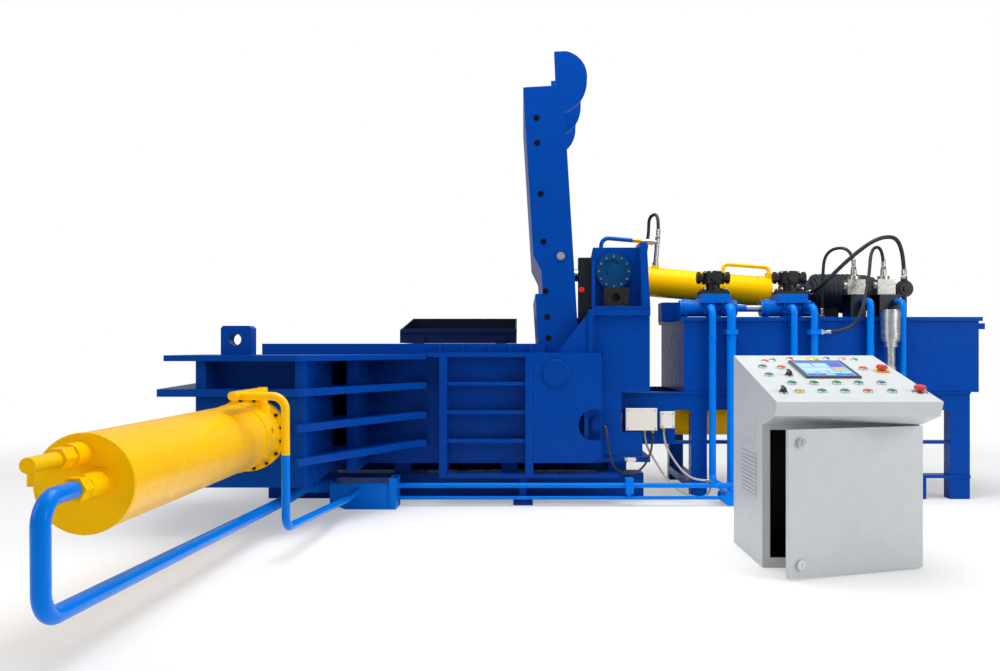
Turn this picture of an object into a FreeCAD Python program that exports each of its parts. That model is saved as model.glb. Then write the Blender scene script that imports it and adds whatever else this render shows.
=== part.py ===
import FreeCAD, Part
import math
import os
import Sketcher
from FreeCAD import Placement, Rotation, Vector

# Horizontal scrap baler: a long press chamber with a hinged lid, a side press at its
# left end, a hydraulic power unit behind on the right and a free-standing console.
# X runs along the chamber, Y away from the operator, Z up; the floor is Z = 0.

os.makedirs("parts", exist_ok=True)
doc = FreeCAD.newDocument("RecyclingBaler")

SIZES = {
    # press chamber
    "chamber_left": -1880, "chamber_front": 190, "chamber_depth": 1500,
    "floor_top": 330, "press_height": 500, "wall": 60, "floor_plate": 40,
    "flange_top": 1087, "flange_thick": 30, "rail_top": 1154, "rail_thick": 40,
    "rib_thick": 26, "stiffener": 57, "sole_top": 218, "sole_thick": 28,
    "skid_height": 190, "ram_gap": 5, "chamber_right": 561, "gate_thick": 60,
    # side press
    "bale_width": 529, "tunnel_reach": 1098, "mouth_plate": 60,
    "deck_top": 1075, "deck_thick": 35, "deck_step": 226, "deck_nose": 62,
    "shelf_thick": 45, "shelf_high": 855, "shelf_mid": 643, "shelf_low": 443,
    "flare_out": 556, "flare_flat": 45, "lug_thick": 100, "lug_height": 176,
    "side_level": 611, "side_tube_radius": 187, "side_tube_length": 1725,
    "side_head_length": 296, "side_rod_radius": 90, "side_stroke": 1480,
    # lid and its pivot
    "pivot_across": 238, "pivot_level": 941, "pivot_radius": 45, "pivot_boss": 75,
    "lid_length": 2112, "lid_side_gap": 10, "lid_plate": 40, "lid_under": 58,
    "lid_over": 185, "lid_skin": 50, "claw_radius": 235, "claw_crown": 190, "lid_lean": 3.45,
    "running_gap": 0.05, "face_gap": 1,
    # lid cylinder
    "trunnion_across": 681, "trunnion_level": 1697, "trunnion_radius": 55,
    "lid_tube_radius": 120, "lid_tube_length": 1430, "lid_rod_radius": 50,
    "link_reach": 404.5, "link_slope": 4.96, "link_pin": 28, "link_eye": 70,
    "housing_top": 1881, "housing_depth": 230, "housing_thick": 60,
    # cheeks that carry the pivot and the housings
    "cheek_left": 75, "cheek_thick": 40, "plate_left": 582, "plate_right": 928,
    "plate_top": 1398,
    # main ram
    "ram_rest": 200, "ram_thick": 250, "main_level": 580, "main_tube_radius": 165,
    "main_rod_radius": 80, "main_tube_length": 2050, "main_stroke": 1545,
    # power unit
    "tank_left": 1197, "tank_width": 2192, "tank_front": 259, "tank_depth": 1100,
    "tank_height": 529, "tank_lid": 30, "frame_left": 739, "frame_right": 3322,
    "leg_width": 119, "frame_top": 794, "rail_deep": 133, "tie_high": 431,
    "tie_deep": 22, "frame_bar": 100,
    # pipes and valves
    "pipe_a": 18, "pipe_b": 13, "riser": 26, "big_riser": 33, "manifold": 62,
    "feed_pipe": 36, "valve_front": 400, "pipe_front": -40, "riser_front": 200,
    # console
    "desk_left": 1215, "desk_width": 800, "desk_front": -1859, "desk_depth": 616,
    "desk_back_top": 1074, "desk_lip": 263, "lip_top": 856, "lip_low": 785,
    "cabinet_top": 724, "sheet_steel": 12, "door_ajar": 18, "door_thick": 22,
    "lock_inset": 75, "lock_radius": 24, "lock_stem": 8, "lock_high": 660, "lock_low": 72,
    "button_travel": 4,
}


class Size:
    """A length with its value and the sheet formula that gives it."""

    def __init__(self, value, text):
        self.value = float(value)
        self.text = text

    def _join(self, other, sign, value):
        other_text = other.text if isinstance(other, Size) else repr(float(other))
        return Size(value, "(%s %s %s)" % (self.text, sign, other_text))

    def __add__(self, other):
        return self._join(other, "+", self.value + float(other))

    def __radd__(self, other):
        return self + other

    def __sub__(self, other):
        return self._join(other, "-", self.value - float(other))

    def __rsub__(self, other):
        return Size(float(other) - self.value, "(%r - %s)" % (float(other), self.text))

    def __mul__(self, other):
        return self._join(other, "*", self.value * float(other))

    def __rmul__(self, other):
        return self * other

    def __truediv__(self, other):
        return self._join(other, "/", self.value / float(other))

    def __neg__(self):
        return Size(-self.value, "(0 - %s)" % self.text)

    def __float__(self):
        return self.value


class Sizes:
    """The driving sizes, read as attributes, each tied to its cell in the sheet."""


sheet = doc.addObject("Spreadsheet::Sheet", "Sizes")
s = Sizes()
for row, (alias, value) in enumerate(SIZES.items(), start=1):
    sheet.set("A%d" % row, alias)
    sheet.set("B%d" % row, str(value))
    sheet.setAlias("B%d" % row, alias)
    setattr(s, alias, Size(value, "Sizes." + alias))
doc.recompute()

NODES = []


def bind(thing, prop, size):
    """Tie a property to the sheet, or set it where the size is a plain number."""
    if isinstance(size, Size):
        thing.setExpression(prop, size.text)
    elif "." in prop or "[" in prop:
        thing.setExpression(prop, repr(float(size)))
    else:
        setattr(thing, prop, size)


def put(thing, x, y, z, turn=None):
    """Place an object at x, y, z with an optional rotation."""
    thing.Placement = Placement(Vector(0, 0, 0), turn or Rotation())
    for axis, size in zip("xyz", (x, y, z)):
        bind(thing, "Placement.Base." + axis, size)
    return thing


def box(x, y, z):
    """A block between the low and high values given for each axis."""
    thing = doc.addObject("Part::Box", "block")
    for prop, (low, high) in zip(("Length", "Width", "Height"), (x, y, z)):
        bind(thing, prop, high - low)
    return put(thing, x[0], y[0], z[0])


ALONG = {"X": Rotation(Vector(0, 1, 0), 90), "Y": Rotation(Vector(1, 0, 0), -90),
         "Z": Rotation()}


def rod(axis, centre, radius, low, high):
    """A round bar along an axis; centre gives its two other coordinates."""
    thing = doc.addObject("Part::Cylinder", "bar")
    bind(thing, "Radius", radius)
    bind(thing, "Height", high - low)
    place = list(centre)
    place.insert("XYZ".index(axis), low)
    return put(thing, *place, turn=ALONG[axis])


def hexagon(axis, centre, across, low, high):
    """A hexagonal bar, for nuts and fittings."""
    thing = doc.addObject("Part::Prism", "hex")
    thing.Polygon = 6
    bind(thing, "Circumradius", across / 2)
    bind(thing, "Height", high - low)
    place = list(centre)
    place.insert("XYZ".index(axis), low)
    return put(thing, *place, turn=ALONG[axis])


PLANES = {"XZ": (Rotation(Vector(1, 0, 0), 90), Vector(0, 1, 0), "xz", "y"),
          "YZ": (Rotation(Vector(1, 1, 1), 120), Vector(1, 0, 0), "yz", "x"),
          "XY": (Rotation(), Vector(0, 0, 1), "xy", "z")}


def profile(plane, points, low, high, bulge=None):
    """A plate cut to an outline and drawn out from low to high across its plane.

    bulge maps the number of an edge to the radius of an arc that replaces it.
    """
    turn, way, _, across = PLANES[plane]
    sketch = doc.addObject("Sketcher::SketchObject", "outline")
    count = len(points)
    flat = [Vector(float(a), float(b), 0) for a, b in points]
    for i in range(count):
        start, end = flat[i], flat[(i + 1) % count]
        if bulge and i in bulge:
            radius = float(bulge[i])
            middle, run = (start + end) / 2, end - start
            side = Vector(run.y, -run.x, 0).normalize()
            rise = abs(radius) - math.sqrt(radius ** 2 - run.Length ** 2 / 4)
            top = middle + side * math.copysign(rise, radius)
            arc = Part.Arc(start, top, end)
            sketch.addGeometry(arc)
        else:
            sketch.addGeometry(Part.LineSegment(start, end))
    heads = []
    for i, (a, b) in enumerate(points):
        line = sketch.Geometry[i]
        head = 1 if sketch.getPoint(i, 1).distanceToPoint(flat[i]) < 1e-6 else 2
        heads.append(head)
    for i, (a, b) in enumerate(points):
        tail = 3 - heads[i]
        after = (i + 1) % count
        sketch.addConstraint(Sketcher.Constraint("Coincident", i, tail, after, heads[after]))
        for kind, size in (("DistanceX", a), ("DistanceY", b)):
            index = sketch.addConstraint(
                Sketcher.Constraint(kind, -1, 1, i, heads[i], float(size)))
            if isinstance(size, Size):
                sketch.setExpression("Constraints[%d]" % index, size.text)
        if bulge and i in bulge:
            index = sketch.addConstraint(
                Sketcher.Constraint("Radius", i, abs(float(bulge[i]))))
            if isinstance(bulge[i], Size):
                sketch.setExpression("Constraints[%d]" % index, abs_text(bulge[i]))
    sketch.Placement = Placement(Vector(0, 0, 0), turn)
    bind(sketch, "Placement.Base." + across, low)
    plate = doc.addObject("Part::Extrusion", "plate")
    plate.Base = sketch
    plate.DirMode = "Custom"
    plate.Dir = way
    plate.Solid = True
    bind(plate, "LengthFwd", high - low)
    return plate


def abs_text(size):
    """The sheet formula of a radius, without its sign."""
    return size.text if size.value > 0 else (-size).text


def fuse(*things):
    """One welded or cast piece made of several forms."""
    if len(things) == 1:
        return things[0]
    if len(things) > 8:
        return fuse(fuse(*things[:-7]), *things[-7:])
    thing = doc.addObject("Part::MultiFuse", "joined")
    thing.Shapes = list(things)
    return thing


def cut(base, *tools):
    """The base with the tools taken out."""
    thing = doc.addObject("Part::Cut", "cut")
    thing.Base = base
    thing.Tool = fuse(*tools)
    return thing


def group(*things):
    """Several separate like pieces kept under one name."""
    thing = doc.addObject("Part::Compound", "set")
    thing.Links = list(things)
    return thing


def node(name, thing):
    """Name a finished sub-part; the name is also its file's."""
    thing.Label = name
    NODES.append(thing)
    return thing


def turned(axis, centre, start, steps, bore=None):
    """A lathe-turned piece: steps are (radius, length) from start along the axis."""
    pieces = []
    low = start
    for radius, length in steps:
        pieces.append(rod(axis, centre, radius, low, low + length))
        low = low + length
    piece = fuse(*pieces)
    if bore is not None:
        piece = cut(piece, rod(axis, centre, bore, start - 1, low + 1))
    return piece


def bent_path(points, radius):
    """Straight runs joined by tangent arcs; radius None gives each its largest."""
    route = [Vector(*[float(c) for c in p]) for p in points]
    runs = [(b - a).Length for a, b in zip(route, route[1:])]
    edges, last, radii = [], route[0], []
    for i in range(1, len(route) - 1):
        back = (route[i - 1] - route[i]).normalize()
        ahead = (route[i + 1] - route[i]).normalize()
        half_turn = (math.pi - back.getAngle(ahead)) / 2
        if radius is None:
            bend = 0.45 * min(runs[i - 1], runs[i]) / math.tan(half_turn)
        else:
            bend = float(radius)
        radii.append(bend)
        trim = bend * math.tan(half_turn)
        start, end = route[i] + back * trim, route[i] + ahead * trim
        inward = (back + ahead).normalize()
        middle = route[i] + inward * (bend / math.cos(half_turn) - bend)
        edges.append(Part.makeLine(last, start))
        edges.append(Part.Arc(start, middle, end).toShape())
        last = end
    edges.append(Part.makeLine(last, route[-1]))
    return Part.Wire(edges), radii


def tube(points, section, radius=None, bore=None):
    """A round pipe, hose or cable along a route of points."""
    path, radii = bent_path(points, radius)
    start = path.Edges[0].Vertexes[0].Point
    way = path.Edges[0].tangentAt(path.Edges[0].FirstParameter)
    ring = Part.Wire(Part.makeCircle(float(section), start, way))
    solid = path.makePipeShell([ring], True, False)
    ideal = math.pi * float(section) ** 2 * path.Length
    print("tube %.0f mm, radii %s, volume %.4f of section by length"
          % (path.Length, " ".join("%.0f" % r for r in radii), solid.Volume / ideal))
    thing = doc.addObject("Part::Feature", "tube")
    thing.Shape = solid
    return thing


# ---------------------------------------------------------------- shared positions
front_face = s.chamber_front - s.wall
back_inner = s.chamber_front + s.chamber_depth
back_face = back_inner + s.wall
middle_y = s.chamber_front + s.chamber_depth / 2
press_top = s.floor_top + s.press_height
tunnel_left = s.chamber_left
tunnel_right = s.chamber_left + s.bale_width
tunnel_mid = s.chamber_left + s.bale_width / 2
mouth = -s.tunnel_reach
flange_low = s.flange_top - s.flange_thick
side_wall_left = tunnel_left - s.wall
side_wall_right = tunnel_right + s.wall


def span(place, low, high):
    """A Y range that stays in order when the piece is mirrored to the rear."""
    a, b = place(low), place(high)
    return (a, b) if float(a) < float(b) else (b, a)


# ------------------------------------------------------------------ chamber frame
def chamber_side():
    """The front long wall with its flange, sole, foot, stiffeners, ribs and rail."""
    back = s.chamber_front - 30
    parts = [
        box((side_wall_left, s.plate_left), (front_face, s.chamber_front),
            (s.floor_top - 46, flange_low)),
        box((-689, s.chamber_right), (0, s.chamber_front), (flange_low, s.flange_top)),
        box((-600, 693), (0, back), (s.sole_top - s.sole_thick, s.sole_top)),
        box((-70, 70), (-12, 150), (0, 24)),
        box((-26, 26), (10, 140), (24, s.sole_top - s.sole_thick)),
        box((-1908, 160), (s.chamber_front - s.rail_thick, s.chamber_front),
            (s.flange_top, s.rail_top)),
        box((-1908, -689), (s.chamber_front - s.rail_thick, s.chamber_front),
            (flange_low, s.flange_top)),
    ]
    for x in (-600, 17):
        parts.append(box((x, x + s.stiffener), (0, front_face), (s.sole_top, flange_low)))
    for level in (s.shelf_high + 11, s.shelf_mid + 17, s.shelf_low + 12):
        parts.append(box((s.stiffener - 600, 17), (20, front_face),
                         (level - s.rib_thick / 2, level + s.rib_thick / 2)))
    for x in (-605, -437, -240, -95, 58):
        parts.append(box((x - 9, x + 9), (80, s.chamber_front - s.rail_thick),
                         (s.flange_top, s.rail_top - 14)))
    return fuse(*parts)


def chamber_frame():
    """The welded chamber: two long walls, an end wall, floor, beams, skids and guides."""
    front = chamber_side()
    rear = doc.addObject("Part::Mirroring", "rear_side")
    rear.Source = front
    rear.Normal = Vector(0, 1, 0)
    bind(rear, "Base.y", middle_y)
    base_low = s.floor_top - s.floor_plate
    parts = [
        front, rear,
        box((side_wall_left, s.chamber_left), (s.chamber_front, back_inner),
            (s.floor_top, flange_low + 5)),
        box((side_wall_left + 2, s.plate_right), (s.chamber_front, back_inner),
            (base_low, s.floor_top)),
        box((s.plate_left, s.plate_right), (front_face, s.chamber_front),
            (base_low, s.floor_top)),
        box((s.plate_left, s.plate_right), (back_inner, back_face), (base_low, s.floor_top)),
    ]
    # cross beams under the floor plate and the two skid rails that stand on the floor
    for x in (-1700, -900, -100, 700):
        parts.append(box((x - 60, x + 60), (310, 1570), (s.skid_height, base_low)))
    for y in (288, 1408):
        parts.append(box((-1900, 900), (y, y + 184), (0, s.skid_height)))
    # the fixed deck over the ram behind the lid
    parts.append(box((40, s.plate_left), (s.chamber_front, back_inner),
                     (press_top + 1, press_top + 21)))
    # upper and lower guides of the outlet gate, with their lips
    guide_x = (tunnel_left - s.bale_width - 70, tunnel_right + 60)
    out = back_face + s.gate_thick + 2
    for low, lip in ((s.floor_top - 36, s.floor_top - 11), (press_top + 11, press_top - 14)):
        parts.append(box(guide_x, (back_face, out + 14), (low, low + 25)))
        parts.append(box(guide_x, (out, out + 14), (lip, lip + 25)))
    side_port = box((tunnel_left, tunnel_right), (front_face - 1, s.chamber_front + 1),
                    (s.floor_top, press_top))
    outlet = box((tunnel_left, tunnel_right), (back_inner - 1, back_face + 1),
                 (s.floor_top, press_top))
    pivot_hole = rod("Y", (s.pivot_across, s.pivot_level), s.pivot_radius + s.running_gap,
                     front_face - 20, back_face + 20)
    return cut(fuse(*parts), side_port, outlet, pivot_hole)


node("chamber_frame", chamber_frame())


# --------------------------------------------------------------------- side press
def side_press_box():
    """The side press tunnel with its deck, flared shelves, web and lifting lug."""
    nose = mouth - s.deck_nose
    near_right = side_wall_right - 26
    far_right = side_wall_right + s.flare_out
    far_left = side_wall_left - 360
    wall_low = s.floor_top - 10
    join = front_face
    parts = [
        box((side_wall_left, tunnel_left), (mouth, join), (wall_low, s.deck_top - 5)),
        box((tunnel_right, side_wall_right), (mouth, join), (wall_low, s.deck_top - 5)),
        box((side_wall_left, side_wall_right), (mouth, join),
            (s.floor_top - s.floor_plate, s.floor_top)),
    ]

    def shelf(level, thick, left_nose, whole):
        right_edge = [(near_right, nose), (far_right, -s.flare_flat),
                      (far_right + s.flare_flat, -s.flare_flat),
                      (far_right + s.flare_flat, join)]
        left_edge = [(far_left, join), (far_left, -60), (left_nose, nose)]
        if whole:
            return [profile("XY", right_edge + left_edge, level - thick / 2,
                            level + thick / 2)]
        inner_right = [(tunnel_right + 10, join), (tunnel_right + 10, nose)]
        inner_left = [(tunnel_left - 10, nose), (tunnel_left - 10, join)]
        return [profile("XY", right_edge + inner_right, level - thick / 2,
                        level + thick / 2),
                profile("XY", left_edge + inner_left, level - thick / 2,
                        level + thick / 2)]

    parts += shelf(s.deck_top - s.deck_thick / 2, s.deck_thick, side_wall_left - 166, True)
    parts += shelf(press_top + s.shelf_thick / 2 + 1, s.shelf_thick,
                   side_wall_left - 206, True)
    parts += shelf(s.shelf_mid, s.shelf_thick, side_wall_left - 120, False)
    parts += shelf(s.shelf_low, s.shelf_thick, side_wall_left - 120, False)
    # the mouth plate that the cylinder head is bolted to
    parts.append(box((side_wall_left, side_wall_right), (mouth, mouth + s.mouth_plate),
                     (s.floor_top - s.floor_plate, press_top + 20)))
    # cross webs between the deck and the tunnel roof
    for y in (-900, -420):
        parts.append(box((side_wall_left, side_wall_right), (y, y + 30),
                         (press_top + 20, s.deck_top - 5)))
    parts.append(box((-1182, -1114), (-400, join), (s.floor_top - 40, s.deck_top - 5)))
    lug_left, lug_right = tunnel_mid - 189, tunnel_mid - 5
    lug_top = s.deck_top + s.lug_height
    lug = profile("XZ", [(lug_left, s.deck_top - 10), (lug_right, s.deck_top - 10),
                         (lug_right, lug_top - 14), (lug_right - 14, lug_top),
                         (lug_left + 14, lug_top), (lug_left, lug_top - 14)],
                  -1060, -1060 + s.lug_thick)
    parts.append(lug)
    lug_hole = rod("Y", (tunnel_mid - 103, s.deck_top + 94), 36, -1070, -940)
    head_hole = rod("Y", (tunnel_mid, s.side_level), s.side_rod_radius + 40,
                    mouth - 1, mouth + s.mouth_plate + 1)
    return cut(fuse(*parts), lug_hole, head_hole)


node("side_press_box", side_press_box())

cap_y = mouth - s.side_head_length - s.side_tube_length
axis_side = (tunnel_mid, s.side_level)


def side_cylinder():
    """The side press cylinder: cap, tube, weld ring, head and bolting flange."""
    tube_body = turned("Y", axis_side, cap_y, [
        (s.side_tube_radius, s.side_tube_length - 24), (s.side_tube_radius + 7, 10),
        (s.side_tube_radius - 6, 14), (s.side_tube_radius + 4, s.side_head_length - 56)])
    flange = rod("Y", axis_side, s.side_tube_radius + 30, mouth - 56, mouth)
    bore = rod("Y", axis_side, s.side_rod_radius + 30, cap_y + 60, mouth - 100)
    gland = rod("Y", axis_side, s.side_rod_radius + s.running_gap, mouth - 110, mouth + 1)
    port = rod("X", (-1300, s.side_level + 30), 24, tunnel_mid + 120, tunnel_mid + 260)
    return cut(fuse(tube_body, flange), bore, gland, port)


def side_cylinder_ports():
    """Boss for the feed pipe, the plugged bleed stub and the head's pipe stub."""
    feed = (-1560, 618)
    bleed = (-1632, 722)
    parts = [
        rod("Y", feed, 52, cap_y - 12, cap_y), rod("Y", feed, 44, cap_y - 130, cap_y - 12),
        hexagon("Y", feed, 92, cap_y - 190, cap_y - 130),
        rod("Y", bleed, 46, cap_y - 90, cap_y), hexagon("Y", bleed, 84, cap_y - 170, cap_y - 90),
        rod("Y", bleed, 27, cap_y - 350, cap_y - 170),
        box((-1644, -1620), (cap_y - 330, cap_y - 240), (650, 722)),
        rod("Z", (-1496, -1250), 40, 700, 788),
    ]
    return parts


node("side_cylinder", fuse(side_cylinder(), *side_cylinder_ports()))


def side_feed_pipe():
    """The steel pipe from the cap's boss down and back to the base of the machine."""
    start = float(cap_y) - 190
    return tube([(-1560, start, 618), (-1560, start - 213, 618),
                 (-1557, start - 213, 225), (-1485, -700, 165), (-1485, -150, 165)],
                s.feed_pipe - 4, 92)


def side_return_pipe():
    """The pipe from the head port over and down to the base of the machine."""
    top = 868
    riser = rod("Z", (-1496, -1250), 26, 788, top + 24)
    stub = rod("Y", (-1496, top), 24, -1800, -1250)
    drop = tube([(-1496, -1750, top), (-1236, -1750, top - 4), (-1232, -1750, 178),
                 (-1150, -516, 130), (-1150, -180, 130)], 22, 70)
    return fuse(drop, stub, riser)


node("side_feed_pipe", side_feed_pipe())
node("side_return_pipe", side_return_pipe())


def base_pipes():
    """Long pipes along the foot of the machine, their junction box, clamp and tee."""
    long_a = (s.pipe_front, 146)
    long_b = (s.pipe_front, 58)
    block = profile("XZ", [(-1235, 0), (-928, 0), (-928, 179), (-1343, 179), (-1343, 42)],
                    -180, 120)
    parts = [
        block, box((-930, -879), (-190, 20), (2, 217)),
        rod("X", (-100, 150), 44, -1427, -1340),
        box((-1530, -1425), (-150, -50), (112, 208)),
        rod("X", long_a, s.pipe_a, -885, 1536), rod("X", long_b, s.pipe_b, -885, 1440),
        rod("Y", (1471, 52), 50, -60, 150), rod("X", long_b, 20, 1400, 1440),
        box((727, 782), (-75, 20), (88, 196)),
        rod("Z", (754, s.pipe_front), 14, 58, 90),
    ]
    return fuse(*parts)


PIPES_AT_FOOT = base_pipes()


# ---------------------------------------------------------------- cheeks and pivot
def cheek_plates():
    """Front and rear cheeks, side plates, gussets and the two cylinder housings."""
    parts = []
    cheek = [(s.cheek_left, flange_low), (s.cheek_left, 300), (504, 300), (561, 354),
             (561, flange_low)]
    plate = [(s.plate_left, s.plate_top), (s.plate_left, 334), (874, 334), (874, 510),
             (720, 510), (720, 800), (s.plate_right, 800), (s.plate_right, s.plate_top)]
    gusset = [(247, s.flange_top), (479, s.flange_top), (479, s.plate_top - 10)]
    housing_back = [(505, s.plate_top), (s.plate_right, s.plate_top),
                    (s.plate_right, s.housing_top), (530, s.housing_top),
                    (505, s.housing_top - 120)]
    for place in (lambda y: y, lambda y: back_face + front_face - y):
        parts.append(profile("XZ", cheek, *span(place, 0, s.cheek_thick)))
        parts.append(box((440, 470), span(place, s.cheek_thick - 1, front_face),
                         (340, flange_low)))
        parts.append(profile("XZ", plate, *span(place, s.chamber_front - 40,
                                                s.chamber_front)))
        parts.append(profile("XZ", gusset, *span(place, 60, 90)))
        parts.append(box((471, 505), span(place, 40, s.chamber_front),
                         (s.flange_top, s.plate_top)))
        parts.append(box((505, s.plate_right), span(place, 120, s.chamber_front),
                         (s.plate_top - 40, s.plate_top)))
        parts.append(box((505, s.plate_left), span(place, 150, s.chamber_front),
                         (s.flange_top, s.plate_top)))
        # pocket-shaped housing for the lid cylinder's trunnion
        deep = s.chamber_front + s.housing_depth
        parts.append(profile("XZ", housing_back, *span(place, deep - 60, deep)))
        parts.append(box((505, s.plate_right), span(place, s.chamber_front - 40, deep),
                         (s.plate_top, s.plate_top + 30)))
        parts.append(box((505, 530), span(place, s.chamber_front, deep),
                         (s.plate_top, s.housing_top - 120)))
        parts.append(profile("XZ", [(872, s.plate_top), (s.plate_right + 8, s.plate_top),
                                    (s.plate_right - 20, s.housing_top + 18),
                                    (858, s.housing_top + 18)],
                             *span(place, s.chamber_front - 20, deep)))
    # cross ties between the two sides and the bulkhead for the main cylinder
    parts.append(box((868, s.plate_right), (s.chamber_front - 20, back_inner + 20),
                     (1250, s.plate_top)))
    parts.append(box((s.plate_left + 4, s.plate_left + 64),
                     (s.chamber_front - 20, back_inner + 20), (s.floor_top, 1000)))
    body = fuse(*parts)
    pivot_hole = rod("Y", (s.pivot_across, s.pivot_level), s.pivot_radius + s.running_gap,
                     -10, back_face + front_face + 10)
    window = rod("Y", (510, 571), 114, -10, s.cheek_thick + 2)
    rear_window = rod("Y", (510, 571), 114, back_face + front_face - s.cheek_thick - 2,
                      back_face + front_face + 10)
    trunnion_hole = rod("Y", (s.trunnion_across, s.trunnion_level),
                        s.trunnion_radius + s.running_gap, 300, back_face + 10)
    ram_hole = rod("X", (middle_y, s.main_level), s.main_tube_radius - 20, 560, 700)
    return cut(body, pivot_hole, window, rear_window, trunnion_hole, ram_hole)


node("cheek_plates", cheek_plates())


def pivot_shaft():
    """The lid's pivot shaft, through both cheeks."""
    return rod("Y", (s.pivot_across, s.pivot_level), s.pivot_radius, -18,
               back_face + front_face + 18)


node("pivot_shaft", pivot_shaft())


def pin_covers():
    """Round covers over the pivot and trunnion ends, and the press trunnion flange."""
    covers = []
    total = back_face + front_face
    at = (s.pivot_across, s.pivot_level)
    for low, high, head in ((-20, 0, -32), (total, total + 20, total + 20)):
        disc = fuse(rod("Y", at, 92, low, high), rod("Y", at, 101, low + 6, high)
                    if float(low) < 0 else rod("Y", at, 101, low, high - 6))
        hollow = rod("Y", at, s.pivot_radius + 1, low + 2 if float(low) < 0 else low - 1,
                     high + 1 if float(low) < 0 else high - 2)
        covers.append(cut(disc, hollow))
        for turn in (45, 135, 225, 315):
            place = (at[0] + 74 * math.cos(math.radians(turn)),
                     at[1] + 74 * math.sin(math.radians(turn)))
            covers.append(hexagon("Y", place, 18, float(head) if float(head) < 0 else head,
                                  low if float(low) < 0 else head + 12))
    deep = s.chamber_front + s.housing_depth - 60
    at = (s.trunnion_across, s.trunnion_level)
    for low, face in ((deep - 40, deep - 41), (total - deep, total - deep + 30)):
        crescent = cut(rod("Y", (at[0] - 16, at[1] + 24), 64, face, face + 11),
                       rod("Y", (at[0] + 8, at[1] - 4), 56, face - 1, face + 12))
        covers.append(cut(rod("Y", at, 136, low, low + 40), crescent))
    covers.append(fuse(rod("Y", (557, 564), 70, 100, 130), rod("Y", (592, 548), 14, 76, 101)))
    covers.append(rod("Y", (557, 564), 70, total - 130, total - 100))
    return group(*covers)


node("pin_covers", pin_covers())


# ---------------------------------------------------------------- lid and its drive
def raised(thing):
    """Lean a piece drawn upright at the origin about the lid's pivot."""
    put(thing, s.pivot_across, 0, s.pivot_level, turn=Rotation(Vector(0, -1, 0), 3.45))
    thing.setExpression("Placement.Rotation.Angle", s.lid_lean.text)
    return thing


lid_near = s.chamber_front + s.lid_side_gap
lid_far = back_inner - s.lid_side_gap
ear_near = middle_y - 80 - s.lid_plate
ear_far = middle_y + 80
PIN_U, PIN_V = 787.2, 87.5


def lid():
    """The press lid: four long plates, pressing plates, cross plates and three claws."""
    top = s.lid_length
    web = [(-s.lid_under, 0), (-s.lid_under, top), (123, top), (s.lid_over, top - 62),
           (s.lid_over, 150), (s.pivot_boss, 0)]
    parts = []
    for low in (lid_near, ear_near, ear_far, lid_far - s.lid_plate):
        parts.append(profile("XZ", web, low, low + s.lid_plate))
        parts.append(rod("Y", (0, 0), s.pivot_boss, low, low + s.lid_plate))
    press = [(-s.lid_under, 754), (-s.lid_under - s.lid_skin - 2, 877),
             (-s.lid_under - s.lid_skin - 2, top), (-s.lid_under + 20, top),
             (-s.lid_under + 20, 754)]
    parts.append(profile("XZ", press, lid_near, lid_far))
    parts.append(box((-s.lid_under - 54, -s.lid_under + 18), (lid_near, lid_far),
                     (225, 588)))
    parts.append(box((-s.lid_under, -s.lid_under + 25), (lid_near, lid_far), (120, top)))
    # cross plates between the long plates
    for u in (300, 1250, 1700, top - 30):
        for low, high in ((lid_near, ear_near + 5), (ear_far + 5, lid_far)):
            parts.append(box((-s.lid_under, 120), (low, high), (u, u + 30)))
    claw = [(128, top - 60), (178, top - 200), (362, top + 25), (220, top + 248),
            (134, top + 250)]
    for low in (lid_near, middle_y - s.lid_plate / 2, lid_far - s.lid_plate):
        parts.append(profile("XZ", claw, low, low + s.lid_plate,
                             {1: s.claw_radius, 2: s.claw_crown}))
    parts.append(profile("XZ", [(-s.lid_under, 1250), (-s.lid_under, top), (123, top),
                                (s.lid_over, top - 62), (s.lid_over, 1300)],
                         middle_y - s.lid_plate / 2, middle_y + s.lid_plate / 2))
    boss = [rod("Y", (92, 855), 49, lid_near - 4, lid_near + 20)]
    for low in (ear_near - 14, ear_far + s.lid_plate - 20):
        boss.append(rod("Y", (PIN_V, PIN_U), 62, low, low + 34))
    bore = rod("Y", (0, 0), s.pivot_radius + s.running_gap, lid_near - 1, lid_far + 1)
    pin_hole = rod("Y", (PIN_V, PIN_U), s.link_pin, ear_near - 20, ear_far + s.lid_plate + 20)
    show_hole = rod("Y", (92, 855), 29, lid_near - 7, lid_near + 21)
    return raised(cut(fuse(*parts, *boss), bore, pin_hole, show_hole))


node("lid", lid())


BOLT_HOLES = ((-24, 1882), (-31, 1698), (-27, 1322), (-29, 968), (-34, 603), (-34, 413),
              (-34, 258))


def lid_fasteners():
    """The rod eye's pins, the near plate's silver pin and the row of flanged bolts."""
    at = (PIN_V, PIN_U)
    pins = [rod("Y", at, s.link_pin, ear_near - 10, ear_near + s.lid_plate),
            rod("Y", at, s.link_pin, ear_far, ear_far + s.lid_plate + 10),
            fuse(rod("Y", (92, 855), 29, lid_near - 7, lid_near + 20),
                 rod("Y", (92, 855), 12, lid_near - 8.5, lid_near - 6))]
    bolts = [fuse(rod("Y", (v, u), 22, lid_near - 3, lid_near),
                  hexagon("Y", (v, u), 28, lid_near - 8.5, lid_near - 3))
             for v, u in BOLT_HOLES]
    return raised(group(*pins, *bolts))


node("lid_fasteners", lid_fasteners())


def along_link(thing):
    """Set a piece drawn along +X from the trunnion on the lid cylinder's line."""
    put(thing, s.trunnion_across, middle_y, s.trunnion_level,
        turn=Rotation(Vector(0, 1, 0), 4.96))
    thing.setExpression("Placement.Rotation.Angle", s.link_slope.text)
    return thing


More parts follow.
